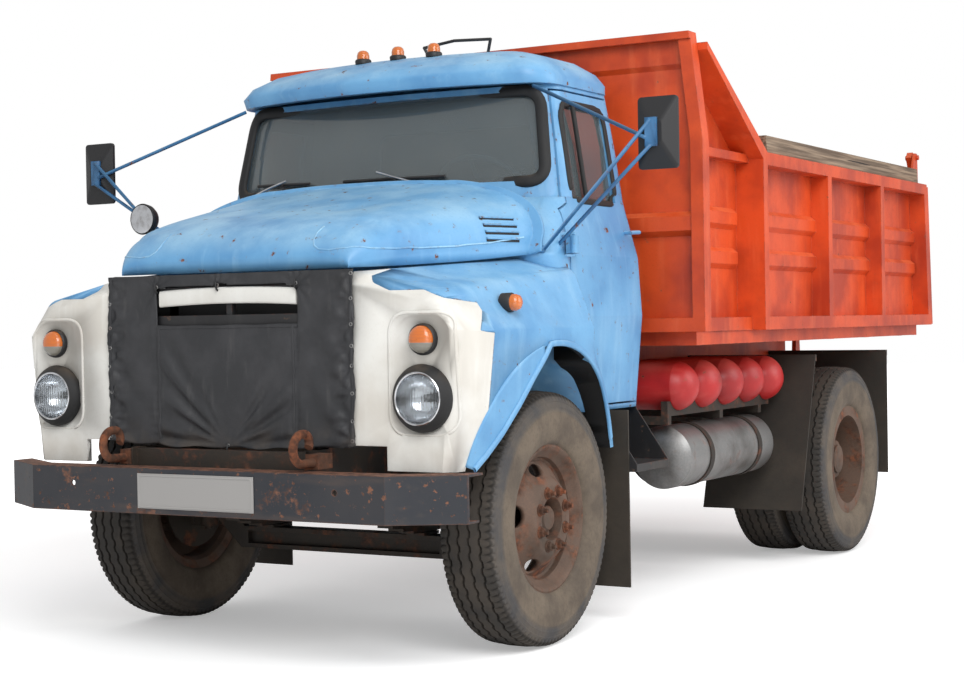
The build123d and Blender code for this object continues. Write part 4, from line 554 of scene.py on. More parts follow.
def rounded(outline, radius, count=6):
    """Closed outline with each corner turned into an arc of short runs."""
    points = []
    size = len(outline)
    for index, corner in enumerate(outline):
        corner = Vector(corner)
        before = (Vector(outline[index - 1]) - corner)
        after = (Vector(outline[(index + 1) % size]) - corner)
        reach = min(radius, before.length / 2.2, after.length / 2.2)
        first = corner + before.normalized() * reach
        last = corner + after.normalized() * reach
        for k in range(count):
            t = k / (count - 1)
            points.append(first * (1 - t) ** 2 + corner * 2 * t * (1 - t) + last * t ** 2)
    return points


# Tyres: zigzag ribs on the tread, notched shoulders and ringed sidewalls

TREAD_STEPS = 324
ZIGZAG_SWING, ZIGZAG_STEPS = 0.0035, 6
NOTCH_DEPTH, NOTCH_STEPS, NOTCH_INSET = 0.009, 3, 0.965
GROOVE_DEPTH = 0.012
CROWN_RADIUS, CROWN_DROP = 0.520, 0.0085
GROOVES = (-0.070, -0.024, 0.024, 0.070)
SIDEWALL = [
    (0.094, 0.298), (0.104, 0.303), (0.112, 0.310), (0.118, 0.322), (0.1265, 0.348), (0.1305, 0.380),
    (0.1308, 0.408), (0.1290, 0.430), (0.1300, 0.433), (0.1290, 0.437), (0.1262, 0.452), (0.1275, 0.455),
    (0.1262, 0.459), (0.1225, 0.474), (0.1240, 0.477), (0.1205, 0.484), (0.1165, 0.496),
]


def tread_profile():
    """One tyre's whole section, from bead to bead, as (offset, radius) points."""
    crown = [(0.108, 0.508), (0.100, 0.5125)]
    for groove in reversed(GROOVES):
        rise = CROWN_RADIUS - CROWN_DROP * (groove / 0.10) ** 2
        crown += [(groove + 0.0060, rise), (groove + 0.0040, rise - GROOVE_DEPTH),
                  (groove - 0.0040, rise - GROOVE_DEPTH), (groove - 0.0060, rise)]
    crown += [(-0.100, 0.5125), (-0.108, 0.508)]
    return SIDEWALL + crown + [(-u, r) for u, r in reversed(SIDEWALL)]


def tread_twist(profile, step):
    """Zigzags the grooves and notches the shoulders as the section goes round."""
    swing = ZIGZAG_SWING * (1 if step % ZIGZAG_STEPS < ZIGZAG_STEPS / 2 else -1)
    notch = step % NOTCH_STEPS == 0
    section = []
    for u, r in profile:
        if r > 0.500 and abs(u) < 0.099:
            u += swing
        if notch and 0.490 < r < 0.513 and abs(u) > 0.095:
            r -= NOTCH_DEPTH
            u *= NOTCH_INSET
        section.append((u, r))
    return section


WHEEL_SETS = (
    # body, tyre node, distances of its tyres from the middle, distance behind the front axle
    ("wheel_front_left", "tyre_front_left", (FRONT_TYRE_X,), 0.0),
    ("wheel_front_right", "tyre_front_right", (-FRONT_TYRE_X,), 0.0),
    ("wheels_rear_left", "tyres_rear_left", (0.745, 1.045), WHEELBASE),
    ("wheels_rear_right", "tyres_rear_right", (-0.745, -1.045), WHEELBASE),
)
for body, node, places, y in WHEEL_SETS:
    tyre = Shape()
    for x in places:
        tyre.turned(tread_profile(), at(x, y, TYRE_RADIUS), steps=TREAD_STEPS, twist=tread_twist)
    tyre.piece("tread_" + node, rear_tyre_rubber if y else tyre_rubber, body, smooth=35, stands_for=(node,))

# Wheel nuts on all wheels, and lock rings on the outer rear rims
NUT_CIRCLE = 0.116
NUT_COUNT = 8
NUT_RADIUS, NUT_HEIGHT, STUD = 0.019, 0.020, 0.016
FRONT_NUT_FACE, REAR_NUT_FACE = 1.016, 0.937
LOCK_RING = ((-0.012, 0.292), (-0.004, 0.306), (0.001, 0.300), (-0.006, 0.284), (-0.016, 0.268), (-0.034, 0.262))
for body, node, places, y in WHEEL_SETS:
    side = 1 if places[0] > 0 else -1
    front = y == 0.0
    face = side * (FRONT_NUT_FACE if front else REAR_NUT_FACE)
    nuts = Shape()
    for k in range(NUT_COUNT):
        angle = 2 * pi * (k + 0.5) / NUT_COUNT
        foot = at(face, y, TYRE_RADIUS) + Vector((0, cos(angle), sin(angle))) * NUT_CIRCLE
        nuts.nut(foot, (side, 0, 0), NUT_RADIUS, NUT_HEIGHT, stud=STUD)
        nuts.turned([(0.0, 0.026), (side * 0.004, 0.025), (side * 0.004, 0.0)], foot, steps=12)
    nuts.piece("wheel_nuts_" + body, rusty, body, smooth=30)
    if not front:
        edge = max(places, key=abs) + side * 0.100
        ring = Shape().turned([(edge + side * u, r) for u, r in LOCK_RING], at(0, y, TYRE_RADIUS), steps=72)
        ring.piece("lock_ring_" + body, rear_wheel_paint, body, smooth=50)

# Places on the CAD skin


def skin_of(node):
    """Search tree over a CAD node's faces."""
    work = bmesh.new()
    work.from_mesh(nodes[node].data)
    tree = BVHTree.FromBMesh(work)
    work.free()
    return tree


def met(tree, start, way):
    """Where a ray meets a surface, or passes nearest to it, and the normal there turned against the ray."""
    spot, normal = tree.ray_cast(start, Vector(way))[:2]
    if spot is None:
        spot, normal = tree.find_nearest(start + Vector(way) * 2.12)[:2]
        normal = -Vector(way)
    return spot, normal if normal.dot(Vector(way)) < 0 else -normal


SEAL_CORNER = 0.085


def seal(name, node, outline, way, spread, body, width=0.020, height=0.012, material=seal_rubber_and_shade):
    """Strip round an opening or a dish; outline gives its (u, height) corners, way the look at it."""
    tree = skin_of(node)
    middle = sum((Vector(corner) for corner in outline), Vector((0, 0))) / len(outline)
    grown = [Vector(corner) + (Vector(corner) - middle).normalized() * spread for corner in outline]
    path, normals = [], []
    for u, z in rounded(grown, SEAL_CORNER, 9):
        if way[0]:
            spot, normal = met(tree, at(-3.0 * way[0], u, z), way)
        else:
            spot, normal = met(tree, at(u, -3.0 * way[1] + 1.0, z), way)
        path.append(spot)
        normals.append(normal)
    made = Shape().band(path, normals, width, height)
    return made.piece(name, material, body, smooth=60)


WINDSCREEN = [(-0.806, 1.925), (0.806, 1.925), (0.748, 2.318), (-0.748, 2.318)]
REAR_WINDOW = [(-0.430, 1.900), (0.430, 1.900), (0.430, 2.240), (-0.430, 2.240)]
DOOR_WINDOW = [(0.446, 1.846), (0.868, 1.846), (0.868, 2.262), (0.478, 2.262)]
seal("windscreen_seal", "cab", WINDSCREEN, (0, 1, 0), 0.016, "chassis", 0.026, 0.014)
seal("rear_window_seal", "cab", REAR_WINDOW, (0, -1, 0), 0.014, "chassis", 0.018, 0.010)
for side, word in SIDES:
    seal("window_seal_" + word, "door_" + word, DOOR_WINDOW, (-side, 0, 0), 0.010, "door_" + word, 0.014, 0.007)
    vent_bar = Shape().tube([at(side * 0.894, 0.592, 1.850), at(side * 0.846, 0.562, 2.262)], 0.011)
    vent_bar.piece("vent_bar_" + word, seal_rubber_and_shade, "door_" + word)

# Headlamps: rubber surround, bright rim, reflector and fluted lens
RECESS_Y = -0.791
HEADLAMP = at(0.905, RECESS_Y, 1.043)
INDICATOR = at(0.911, RECESS_Y, 1.262)
SIDE_LAMP = at(1.070, -0.425, 1.395)
REAR_LAMP = at(0.390, 4.372, 0.815)


def forward(points):
    """Profile points given as (distance ahead, radius), for a turned piece along Y."""
    return [(-ahead, radius) for ahead, radius in points]


def turned_piece(name, material, section, spot, axis="y", steps=48, smooth=60, twice=True, stands_for=()):
    """Turned piece on the chassis, at a spot and, where it comes twice, at its mirror image too."""
    made = Shape().turned(section, spot, axis, steps)
    if twice:
        made.mirrored()
    return made.piece(name, material, "chassis", smooth=smooth, stands_for=stands_for)


SURROUND = forward([(0.0, 0.126), (0.012, 0.128), (0.026, 0.122), (0.040, 0.108), (0.046, 0.100), (0.044, 0.096),
                    (0.030, 0.097), (0.0, 0.098)])
RIM = forward([(0.038, 0.1005), (0.048, 0.1000), (0.0505, 0.0965), (0.048, 0.0925), (0.040, 0.092)])
REFLECTOR = forward([(0.038, 0.093), (0.010, 0.089), (-0.020, 0.074), (-0.042, 0.050), (-0.050, 0.024),
                     (-0.052, 0.001), (-0.055, 0.001), (-0.053, 0.026), (-0.045, 0.052), (-0.022, 0.077),
                     (0.008, 0.092), (0.036, 0.096)])
BULB = forward([(-0.050, 0.016), (-0.020, 0.016), (-0.008, 0.011), (-0.004, 0.001)])
LENS = forward([(0.040, 0.094), (0.047, 0.082), (0.053, 0.062), (0.057, 0.036), (0.0585, 0.001), (0.0545, 0.001),
                (0.053, 0.036), (0.049, 0.062), (0.043, 0.082), (0.037, 0.093)])
turned_piece("lamp_surrounds", seal_rubber_and_shade, SURROUND, HEADLAMP, steps=72, smooth=50, stands_for=("headlamps",))
turned_piece("lamp_rims", chrome, RIM, HEADLAMP, steps=72, smooth=50)
turned_piece("lamp_reflectors", chrome, REFLECTOR, HEADLAMP, steps=72, smooth=50)
turned_piece("lamp_bulbs", tank_steel, BULB, HEADLAMP, steps=24, smooth=50)
turned_piece("lamp_lenses", lens, LENS, HEADLAMP, steps=72)

# Indicators, side lamps and rear lamps
base = Shape()
base.turned(forward([(-0.002, 0.059), (0.012, 0.060), (0.022, 0.057), (0.024, 0.053), (0.012, 0.050), (0.0, 0.03)]),
            INDICATOR, "y", 48)
base.turned([(-0.030, 0.037), (0.010, 0.038), (0.016, 0.034), (0.010, 0.020)], SIDE_LAMP, "x", 40)
base.turned([(-0.020, 0.040), (0.012, 0.041), (0.014, 0.036), (0.008, 0.020)], REAR_LAMP, "y", 40)
base.mirrored().piece("lamp_bases", black_plastic, "chassis", smooth=50, stands_for=("indicators",))
turned_piece("indicator_lenses", indicator_lens, forward([
    (0.012, 0.052), (0.026, 0.0515), (0.038, 0.046), (0.047, 0.034), (0.052, 0.018), (0.053, 0.001)]), INDICATOR)
turned_piece("side_lamp_lenses", amber_lens, [
    (0.008, 0.033), (0.030, 0.032), (0.044, 0.026), (0.050, 0.014), (0.052, 0.001)], SIDE_LAMP, "x", 40)
turned_piece("rear_lamp_lenses", red_lens, [
    (0.010, 0.036), (0.022, 0.034), (0.028, 0.024), (0.030, 0.001)], REAR_LAMP, steps=40)

# Roof lamps: amber domes on dark feet, standing on the roof
ROOF_LAMPS_X, ROOF_LAMPS_Y = (-0.182, 0.008, 0.200), 0.470
roof_skin = skin_of("roof")
feet, domes = Shape(), Shape()
for x in ROOF_LAMPS_X:
    spot = met(roof_skin, at(x, ROOF_LAMPS_Y, 3.0), (0, 0, -1))[0]
    feet.turned([(-0.006, 0.036), (0.010, 0.038), (0.016, 0.034), (0.018, 0.028)], spot, "z", 32)
    domes.turned([(0.014, 0.029), (0.034, 0.029), (0.048, 0.025), (0.056, 0.016), (0.059, 0.001)], spot, "z", 32)
feet.piece("roof_lamp_feet", black_plastic, "chassis", smooth=50, stands_for=("roof_lamps",))
domes.piece("roof_lamp_domes", amber_lens, "chassis", smooth=60)

# Work lamp on the right mirror: black bowl with a bright rim and lens
WORK_LAMP = at(-1.150, 0.070, 1.830)
turned_piece("work_lamp_bowl", black_plastic, [
    (0.050, 0.001), (0.046, 0.034), (0.022, 0.056), (0.0, 0.068), (-0.028, 0.073), (-0.034, 0.070), (-0.028, 0.066)],
    WORK_LAMP, twice=False, stands_for=("spot_lamp",))
turned_piece("work_lamp_lens", chrome, [(-0.028, 0.067), (-0.034, 0.066), (-0.038, 0.050), (-0.041, 0.001)],
             WORK_LAMP, twice=False)

# Blank number plate on the bumper
PLATE_LOW, PLATE_HIGH = at(-0.300, -1.0045, 0.612), at(0.270, -1.0005, 0.750)
plate = Shape().block(PLATE_LOW, PLATE_HIGH)
plate.piece("number_plate", plate_grey, "chassis", bevel=0.0015)
corners = [(PLATE_LOW.x + 0.008, PLATE_LOW.z + 0.008), (PLATE_HIGH.x - 0.008, PLATE_LOW.z + 0.008),
           (PLATE_HIGH.x - 0.008, PLATE_HIGH.z - 0.008), (PLATE_LOW.x + 0.008, PLATE_HIGH.z - 0.008)]
edge_path = [Vector((u, PLATE_LOW.y, z)) for u, z in rounded(corners, 0.014, 4)]
plate_rim = Shape().band(edge_path, [FORWARD] * len(edge_path), 0.004, 0.0022)
plate_rim.piece("number_plate_rim", plate_grey, "chassis")

# Cloth cover: one cut piece, slack between its ties, with folds that run to them
COVER_HALF = 0.608
COVER_TOP = 1.531
COVER_LOW = 0.860
COVER_DIP = 0.018
COVER_Y = -0.8095
SLOT_HALF = 0.346
SLOT_LOW, SLOT_HIGH = 1.330, 1.476
SEAMS = (-0.360, 0.340)
TIE = (0.0, 0.846)
TOP_TIES = ((-0.346, 1.480), (-0.040, 1.482), (0.346, 1.480))
EYELETS = [(side * 0.598, z) for side in (-1, 1) for z in (1.515, 1.420, 1.322, 1.240, 1.165, 1.060, 0.955, 0.880)]
CELLS = (150, 88)
# Rays of small folds: their spots, reach, where they are full, their bare middle, height, number and turn
PUCKERS = ((EYELETS, 0.22, 0.05, 0.03, 0.0042, 7.0, 40.0), (TOP_TIES, 0.20, 0.04, 0.02, 0.0040, 9.0, 0.0))


def eased(value, low, high):
    """Smooth step from 0 at low to 1 at high."""
    t = min(1.0, max(0.0, (value - low) / (high - low)))
    return t * t * (3 - 2 * t)


def fold(x, z):
    """How far the cloth stands forward at a point."""
    lift = 0.0035 * sin(x * 9.0 + 1.2) * sin(z * 7.0)
    middle = eased(x, SEAMS[0], SEAMS[0] + 0.05) * eased(x, SEAMS[1], SEAMS[1] - 0.05) * eased(z, 1.325, 1.24)
    away = hypot(x - TIE[0], z - TIE[1])
    turn = atan2(abs(x - TIE[0]), z - TIE[1])
    swag = eased(turn, 0.30, 0.80) * eased(away, 0.02, 0.20)
    side = 1.0 if x > TIE[0] else 1.25
    lift += middle * swag * (0.0075 * sin(turn * 17.0 * side - away * 5.0) + 0.0030 * sin(turn * 31.0 + away * 9.0))
    lift += middle * 0.006 * eased(away, 0.1, 0.4)
    outer = 1.0 - eased(x, SEAMS[0] - 0.03, SEAMS[0]) * eased(x, SEAMS[1] + 0.03, SEAMS[1])
    lift += outer * 0.0030 * sin(x * 44.0 + 5.0 * sin(z * 6.0)) * eased(z, 1.50, 1.30)
    for spots, outer_reach, full_reach, inner_reach, height, waves, shift in PUCKERS:
        for u, v in spots:
            reach = hypot(x - u, z - v)
            if reach < outer_reach:
                angle = atan2(z - v, x - u)
                lift += height * sin(angle * waves + v * shift) * eased(
                    reach, outer_reach, full_reach) * eased(reach, 0.0, inner_reach)
    for seam in SEAMS:
        lift -= 0.0045 * max(0.0, 1.0 - abs(x - seam) / 0.012) * eased(z, 1.34, 1.30)
        lift += 0.0012 * sin(z * 190.0) * max(0.0, 1.0 - abs(x - seam) / 0.05) * eased(z, 1.34, 1.30)
    return max(-0.0065, min(0.015, lift))


cover = Shape()
rows = []
for j in range(CELLS[1] + 1):
    row = []
    for i in range(CELLS[0] + 1):
        x = -COVER_HALF + 2 * COVER_HALF * i / CELLS[0]
        low = COVER_LOW - COVER_DIP * (1 - (x / COVER_HALF) ** 2) + 0.004 * sin(x * 31.0)
        z = low + (COVER_TOP - low) * j / CELLS[1]
        edge = 1.0 + 0.006 * sin(z * 24.0 + 1.0) * eased(abs(x), 0.45, 0.60)
        row.append(at(x * edge, COVER_Y - fold(x, z), z))
    rows.append(row)
cover.grid(rows)


def in_slot(face):
    """Whether a face of the cover lies in its opening."""
    middle = sum((cover.points[k] for k in face), Vector()) / len(face)
    return abs(middle.x) < SLOT_HALF and SLOT_LOW < middle.z < SLOT_HIGH + 0.012 * cos(middle.x * 4.0)


cover.faces = [face for face in cover.faces if not in_slot(face)]
cover_piece = cover.piece("cloth_cover", cloth, "chassis", thick=0.0022, smooth=70, stands_for=("radiator_cover",))

# Hems, eyelets and ties
hems, eyelets = Shape(), Shape()


def on_cloth(x, z, off=0.0):
    """Point on the cover's front."""
    return at(x, COVER_Y - fold(x, z) - off, z)


for line in ([(-COVER_HALF + 0.012, 0.875 + 0.65 * k / 40) for k in range(41)],
             [(COVER_HALF - 0.012, 0.875 + 0.65 * k / 40) for k in range(41)],
             [(SEAMS[0] + 0.016, 0.875 + 0.45 * k / 30) for k in range(31)],
             [(SEAMS[1] - 0.016, 0.875 + 0.45 * k / 30) for k in range(31)],
             [(-SLOT_HALF + 2 * SLOT_HALF * k / 40, SLOT_LOW - 0.010) for k in range(41)]):
    path = [on_cloth(x, z) for x, z in line]
    hems.band(path, [FORWARD] * len(path), 0.006, 0.0022, closed=False)
hem_piece = hems.piece("cover_hems", cloth, "chassis", smooth=60)
for x, z in EYELETS[1:] + [TIE] + [(u, v + 0.004) for u, v in TOP_TIES]:
    spot = on_cloth(x, max(z, 0.852))
    eyelets.turned([(0.001, 0.0085), (-0.0025, 0.0075), (-0.003, 0.0055), (-0.001, 0.004)], spot, "y", 16)
eyelet_piece = eyelets.piece("cover_eyelets", tank_steel, "chassis", smooth=50)
ties = Shape()
for x, z in TOP_TIES:
    ties.tube([on_cloth(x, z + 0.016, 0.004), on_cloth(x, z + 0.002, 0.010), on_cloth(x + 0.004, z - 0.012, 0.007),
               on_cloth(x - 0.002, z - 0.018, -0.004)], 0.0045, 8)
ties.tube([on_cloth(0.0, 0.862, 0.004), on_cloth(0.002, 0.850, 0.006), at(0.004, -0.822, 0.828),
           at(0.0, -0.812, 0.812)], 0.004, 8)
tie_piece = ties.piece("cover_ties", black_plastic, "chassis", smooth=60)

# Pale grille bar bowed across the cover's opening
BAR_HALF, BAR_BOW, BAR_STEPS = 0.340, 0.010, 40
bar_rows = []
for k in range(BAR_STEPS + 1):
    x = BAR_HALF * (2 * k / BAR_STEPS - 1)
    rise = BAR_BOW * (1 - (x / BAR_HALF) ** 2)
    bar_rows.append([at(x, y, z + rise) for y, z in (
        (-0.796, 1.402), (-0.802, 1.404), (-0.8045, 1.410), (-0.8045, 1.456), (-0.800, 1.466), (-0.796, 1.468))])
grille_bar = Shape().grid(bar_rows, around=True)
grille_bar.piece("grille_top_bar", cream, "chassis", smooth=50)

# Seat: one cushion and one back, stuffed between sewn channels


def stuffed(low, high, channels, slope=0.0):
    """Rounded pad between two corners with channels across its width."""
    size = [(b - a) / 2 for a, b in zip(low, high)]
    middle = [(a + b) / 2 for a, b in zip(low, high)]
    rows = []
    for i in range(97):
        x = -1 + 2 * i / 96
        edge = (1 - abs(x) ** 14) ** 0.25 if abs(x) < 1 else 0.0
        groove = 0.10 * max(0.0, cos(pi * channels * (x + 1))) ** 14 * (1 if abs(x) < 0.97 else 0)
        row = []
        for k in range(40):
            angle = 2 * pi * k / 40
            u, w = cos(angle), sin(angle)
            u, w = (abs(u) ** 0.42 * (1 if u > 0 else -1), abs(w) ** 0.42 * (1 if w > 0 else -1))
            scale = edge * (1 - groove)
            y = middle[1] + size[1] * u * scale
            row.append(at(middle[0] + size[0] * x, y + slope * size[2] * w, middle[2] + size[2] * w * scale))
        rows.append(row)
    return Shape().grid(rows, around=True)


SEAT_HALF = 0.76
SEAT_CHANNELS = 5
cushion = stuffed((-SEAT_HALF, 0.500, 1.272), (SEAT_HALF, 0.930, 1.420), SEAT_CHANNELS)
cushion_piece = cushion.piece("seat_cushion", leather, "chassis", smooth=70, stands_for=("seat",))
back_rest = stuffed((-SEAT_HALF, 0.862, 1.380), (SEAT_HALF, 0.950, 1.905), SEAT_CHANNELS, slope=0.12)
back_piece = back_rest.piece("seat_back", leather, "chassis", smooth=70)
plinth = Shape().block(at(-0.72, 0.54, 0.965), at(0.72, 0.90, 1.285))
plinth.piece("seat_plinth", black_steel, "chassis", bevel=0.006)

# Sheet metal with its creases shaded round: copies of CAD nodes, welded


def restyled(node, material, body, angle=38, unwanted=None, name=None):
    """Visible copy of a CAD node with smooth shading, less the faces that are unwanted."""
    name = name or node + "_skin"
    work = bmesh.new()
    work.from_mesh(nodes[node].data)
    bmesh.ops.remove_doubles(work, verts=work.verts, dist=0.00002)
    if unwanted:
        gone = [face for face in work.faces if unwanted(face.calc_center_median())]
        bmesh.ops.delete(work, geom=gone, context="FACES")
    mesh = bpy.data.meshes.new(name)
    work.to_mesh(mesh)
    work.free()
    mesh.materials.clear()
    mesh.materials.append(material)
    mesh.polygons.foreach_set("material_index", [0] * len(mesh.polygons))
    made = shown(name, mesh, angle)
    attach(made, body)
    if name.endswith("_skin"):
        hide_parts(node)
    return made


def hinge_post(spot):
    """Whether a point lies on a bonnet hinge post, which the visible cab is shown without."""
    y = spot.y + ORIGIN_Y
    return spot.z > 1.851 and 0.395 < abs(spot.x) < 0.475 and 0.13 < y < 0.245


restyled("cab", blue, "chassis", unwanted=hinge_post)
restyled("roof", blue, "chassis")
restyled("front_panels", cream, "chassis")
restyled("mirror_arms", arm_blue, "chassis")

# Bonnet: rounded cross-sections swept from the nose to the slanting seam, with a raised panel
BONNET = (
    # station, half width at the seam, seam height, crown
    (-0.780, 0.590, 1.537, 1.676),
    (-0.690, 0.622, 1.541, 1.706),
    (-0.560, 0.670, 1.547, 1.754),
    (-0.220, 0.800, 1.570, 1.834),
    (0.190, 0.948, 1.610, 1.940),
    (0.300, 0.985, 1.621, 1.966),
)
NOSE = -0.772
NOSE_LENGTH = 0.130
SEAM_FOOT, SEAM_SLOPE = (0.045, 1.590), 0.3043
DENT, DENT_REACH, DENT_DEPTH = (0.30, -0.36), 0.16, 0.010


def between(table, station, column):
    """Value of one column of a table at a station, on a smooth curve through its rows."""
    last = len(table) - 2
    k = max(i for i in range(last + 1) if i == 0 or table[i][0] <= station)
    a, b = table[k], table[k + 1]

    def slope(i):
        low, high = table[max(0, i - 1)], table[min(last + 1, i + 1)]
        return (high[column] - low[column]) / (high[0] - low[0])
    run = b[0] - a[0]
    t = (station - a[0]) / run
    return ((2 * t ** 3 - 3 * t ** 2 + 1) * a[column] + (t ** 3 - 2 * t ** 2 + t) * run * slope(k)
            + (3 * t ** 2 - 2 * t ** 3) * b[column] + (t ** 3 - t ** 2) * run * slope(k + 1))


def bonnet_point(y, turn):
    """(x, z) on the bonnet at a station, turn going from 0 at the left seam to pi at the right one."""
    nose = min(1.0, max(0.0, (y - NOSE) / NOSE_LENGTH))
    half = between(BONNET, y, 1) * (1 - 0.05 * (1 - nose) ** 2)
    seam = between(BONNET, y, 2)
    height = (between(BONNET, y, 3) - seam) * (0.30 + 0.70 * (1 - (1 - nose) ** 2) ** 0.5)
    power = 2.0 / (4.4 - 1.6 * eased(y, -0.6, 0.19))
    across = abs(cos(turn)) ** power * (1 if cos(turn) > 0 else -1)
    x = half * across
    z = seam + height * abs(sin(turn)) ** power
    behind = eased(y, -0.592, -0.572)
    z += 0.0065 * behind * eased(z, seam + 0.052, seam + 0.066) * eased(abs(x), 0.40, 0.52)
    x *= 1 + 0.006 * behind * eased(z, seam + 0.052, seam + 0.066)
    z -= DENT_DEPTH * eased(hypot(x - DENT[0], y - DENT[1]), DENT_REACH, 0.0)
    return x, z


TURNS = 150
bonnet_rows = []
stations = [NOSE + 0.0002 + NOSE_LENGTH * (k / 22) ** 2 for k in range(23)]
stations += [NOSE + NOSE_LENGTH + 0.0102 * k for k in range(1, 84)]
for index, y in enumerate(stations):
    row = []
    for k in range(TURNS + 1):
        x, z = bonnet_point(y, pi * k / TURNS)
        back = SEAM_FOOT[0] + SEAM_SLOPE * (z - SEAM_FOOT[1]) - 0.003
        row.append(at(x, min(y, back), z))
    if index == 0:
        bonnet_rows.append([Vector((p.x * 0.985, p.y + 0.004, BONNET[0][2])) for p in row])
    bonnet_rows.append(row)
bonnet_top = Shape().grid(bonnet_rows)
bonnet_top.piece("bonnet_skin", blue, "bonnet", thick=0.012, smooth=42, stands_for=("bonnet",))

# Pressed crease round the bonnet's raised part, in paler blue: a painted highlight along the crease
CREASE = [(0.900, 0.020, 1.668), (0.830, -0.150, 1.640), (0.760, -0.300, 1.628), (0.700, -0.450, 1.620),
          (0.655, -0.580, 1.612), (0.600, -0.680, 1.608), (0.540, -0.740, 1.606), (0.470, -0.760, 1.606),
          (0.420, -0.765, 1.614), (0.395, -0.760, 1.632), (0.385, -0.750, 1.656), (0.380, -0.720, 1.690),
          (0.388, -0.660, 1.722)]
bonnet_tree = BVHTree.FromPolygons(bonnet_top.points, bonnet_top.faces)
crease_path, crease_normals = [], []
for a, b in zip(CREASE, CREASE[1:]):
    for t in range(4):
        spot, normal = bonnet_tree.find_nearest(at(*(Vector(a).lerp(Vector(b), t / 4))))[:2]
        crease_path.append(spot)
        crease_normals.append(normal if normal.dot(Vector((0.5, -0.5, 0.7))) > 0 else -normal)
crease = Shape().band(crease_path, crease_normals, 0.0035, 0.0028, closed=False)
crease.mirrored().piece("bonnet_creases", crease_highlight_blue, "bonnet", smooth=60)

# Dark plate behind the cover's opening: painted shade, standing in for the shadow seen through it
Shape().block(at(-0.560, -0.700, 1.340), at(0.560, -0.690, 1.520)).piece("grille_shade_plate", seal_rubber_and_shade, "chassis")

# Rims of the dished panels round the lamps
for side, word in SIDES:
    rim_outline = [(side * x, z) for x, z in ((0.762, 0.905), (1.046, 0.905), (1.046, 1.362), (0.762, 1.362))]
    seal("panel_rim_" + word, "front_panels", rim_outline, (0, 1, 0), 0.0, "chassis", 0.006, 0.004, cream)

# Wiper arms: bright rods with their pivots
SCREEN_LOW, SCREEN_HIGH = 1.900, 2.345
cab_tree = skin_of("cab")
arms = Shape()
for foot, tip in (((-0.720, 1.915), (-0.480, 1.985)), ((0.310, 1.918), (0.040, 1.995))):
    path = []
    for t in range(7):
        x, z = foot[0] + (tip[0] - foot[0]) * t / 6, foot[1] + (tip[1] - foot[1]) * t / 6
        low = met(cab_tree, at(x, -2.0, SCREEN_LOW), (0, 1, 0))[0]
        high = met(cab_tree, at(x, -2.0, SCREEN_HIGH), (0, 1, 0))[0]
        front = low.y + (high.y - low.y) * (z - SCREEN_LOW) / (SCREEN_HIGH - SCREEN_LOW)
        path.append(Vector((x, front - 0.030 - 0.010 * sin(pi * t / 6), z)))
    arms.tube(path, 0.0055)
    arms.tube([path[0] + Vector((0, -0.012, 0)), path[0] + Vector((0, 0.045, -0.010))], 0.013, 16)
arms.piece("wiper_arms", chrome, "chassis", smooth=60)

# Louvres: pressed hoods in the bonnet's flanks, with dark strips under them as painted shade for the slots' openings
LOUVRES, LOUVRE_TOP, LOUVRE_STEP = 4, 1.738, 0.029
LOUVRE_LENGTH, LOUVRE_POINTS = 0.165, 9
OUTWARD = Vector((1, 0, 0.15))
slots, hoods = Shape(), Shape()
for k in range(LOUVRES):
    z = LOUVRE_TOP - LOUVRE_STEP * k
    slot_path, hood_path = [], []
    for m in range(LOUVRE_POINTS):
        y = LOUVRE_LENGTH * (m / (LOUVRE_POINTS - 1) - 1)
        turn = min((pi * 0.5 * n / 400 for n in range(400)), key=lambda a: abs(bonnet_point(y, a)[1] - z))
        x = bonnet_point(y, turn)[0] + 0.0006
        slot_path.append(at(x, y, z))
        hood_path.append(at(x, y, z + 0.0075))
    slots.band(slot_path, [OUTWARD] * LOUVRE_POINTS, 0.0055, 0.0010, closed=False)
    hoods.band(hood_path, [OUTWARD] * LOUVRE_POINTS, 0.0040, 0.0045, closed=False)
slots.mirrored().piece("louvre_slot_shades", seal_rubber_and_shade, "bonnet", smooth=60)
hoods.mirrored().piece("louvre_hoods", blue, "bonnet", smooth=60)

# Wings: the arch's front edge runs down and forward to the bumper, with a raised lip round it
WING_SIDE = ((-0.800, 0.985, 1.040), (-0.765, 1.025, 1.080), (-0.610, 1.050, 1.108), (-0.300, 1.070, 1.118),
             (0.236, 1.090, 1.100), (0.620, 1.012, 1.006))
ARCH_MIDDLE, ARCH_RADIUS = (-0.110, 0.600), 0.630
ARCH_EDGE = [(-0.672, 0.772), (-0.600, 0.822), (-0.510, 0.895), (-0.400, 1.000), (-0.300, 1.105), (-0.215, 1.185)]


def wing_side(y, z):
    """How far out the wing's side stands."""
    foot, flank = between(WING_SIDE, y, 1), between(WING_SIDE, y, 2)
    return foot + (flank - foot) * (z - 0.770) / 0.520


def in_arch(spot):
    """Whether a point of the wings lies in the dark wheel arch, behind its edge."""
    y, z = spot.y + ORIGIN_Y, spot.z
    near = hypot(y - ARCH_MIDDLE[0], z - ARCH_MIDDLE[1]) < ARCH_RADIUS + 0.05
    return near and z > 0.5 and abs(spot.x) < wing_side(y, z) - 0.014


restyled("wings", blue, "chassis", unwanted=in_arch)
# The wings' faces inside the wheel arch in near black: painted shade under the wing
restyled("wings", seal_rubber_and_shade, "chassis", unwanted=lambda spot: not in_arch(spot), name="wing_arch_shade")

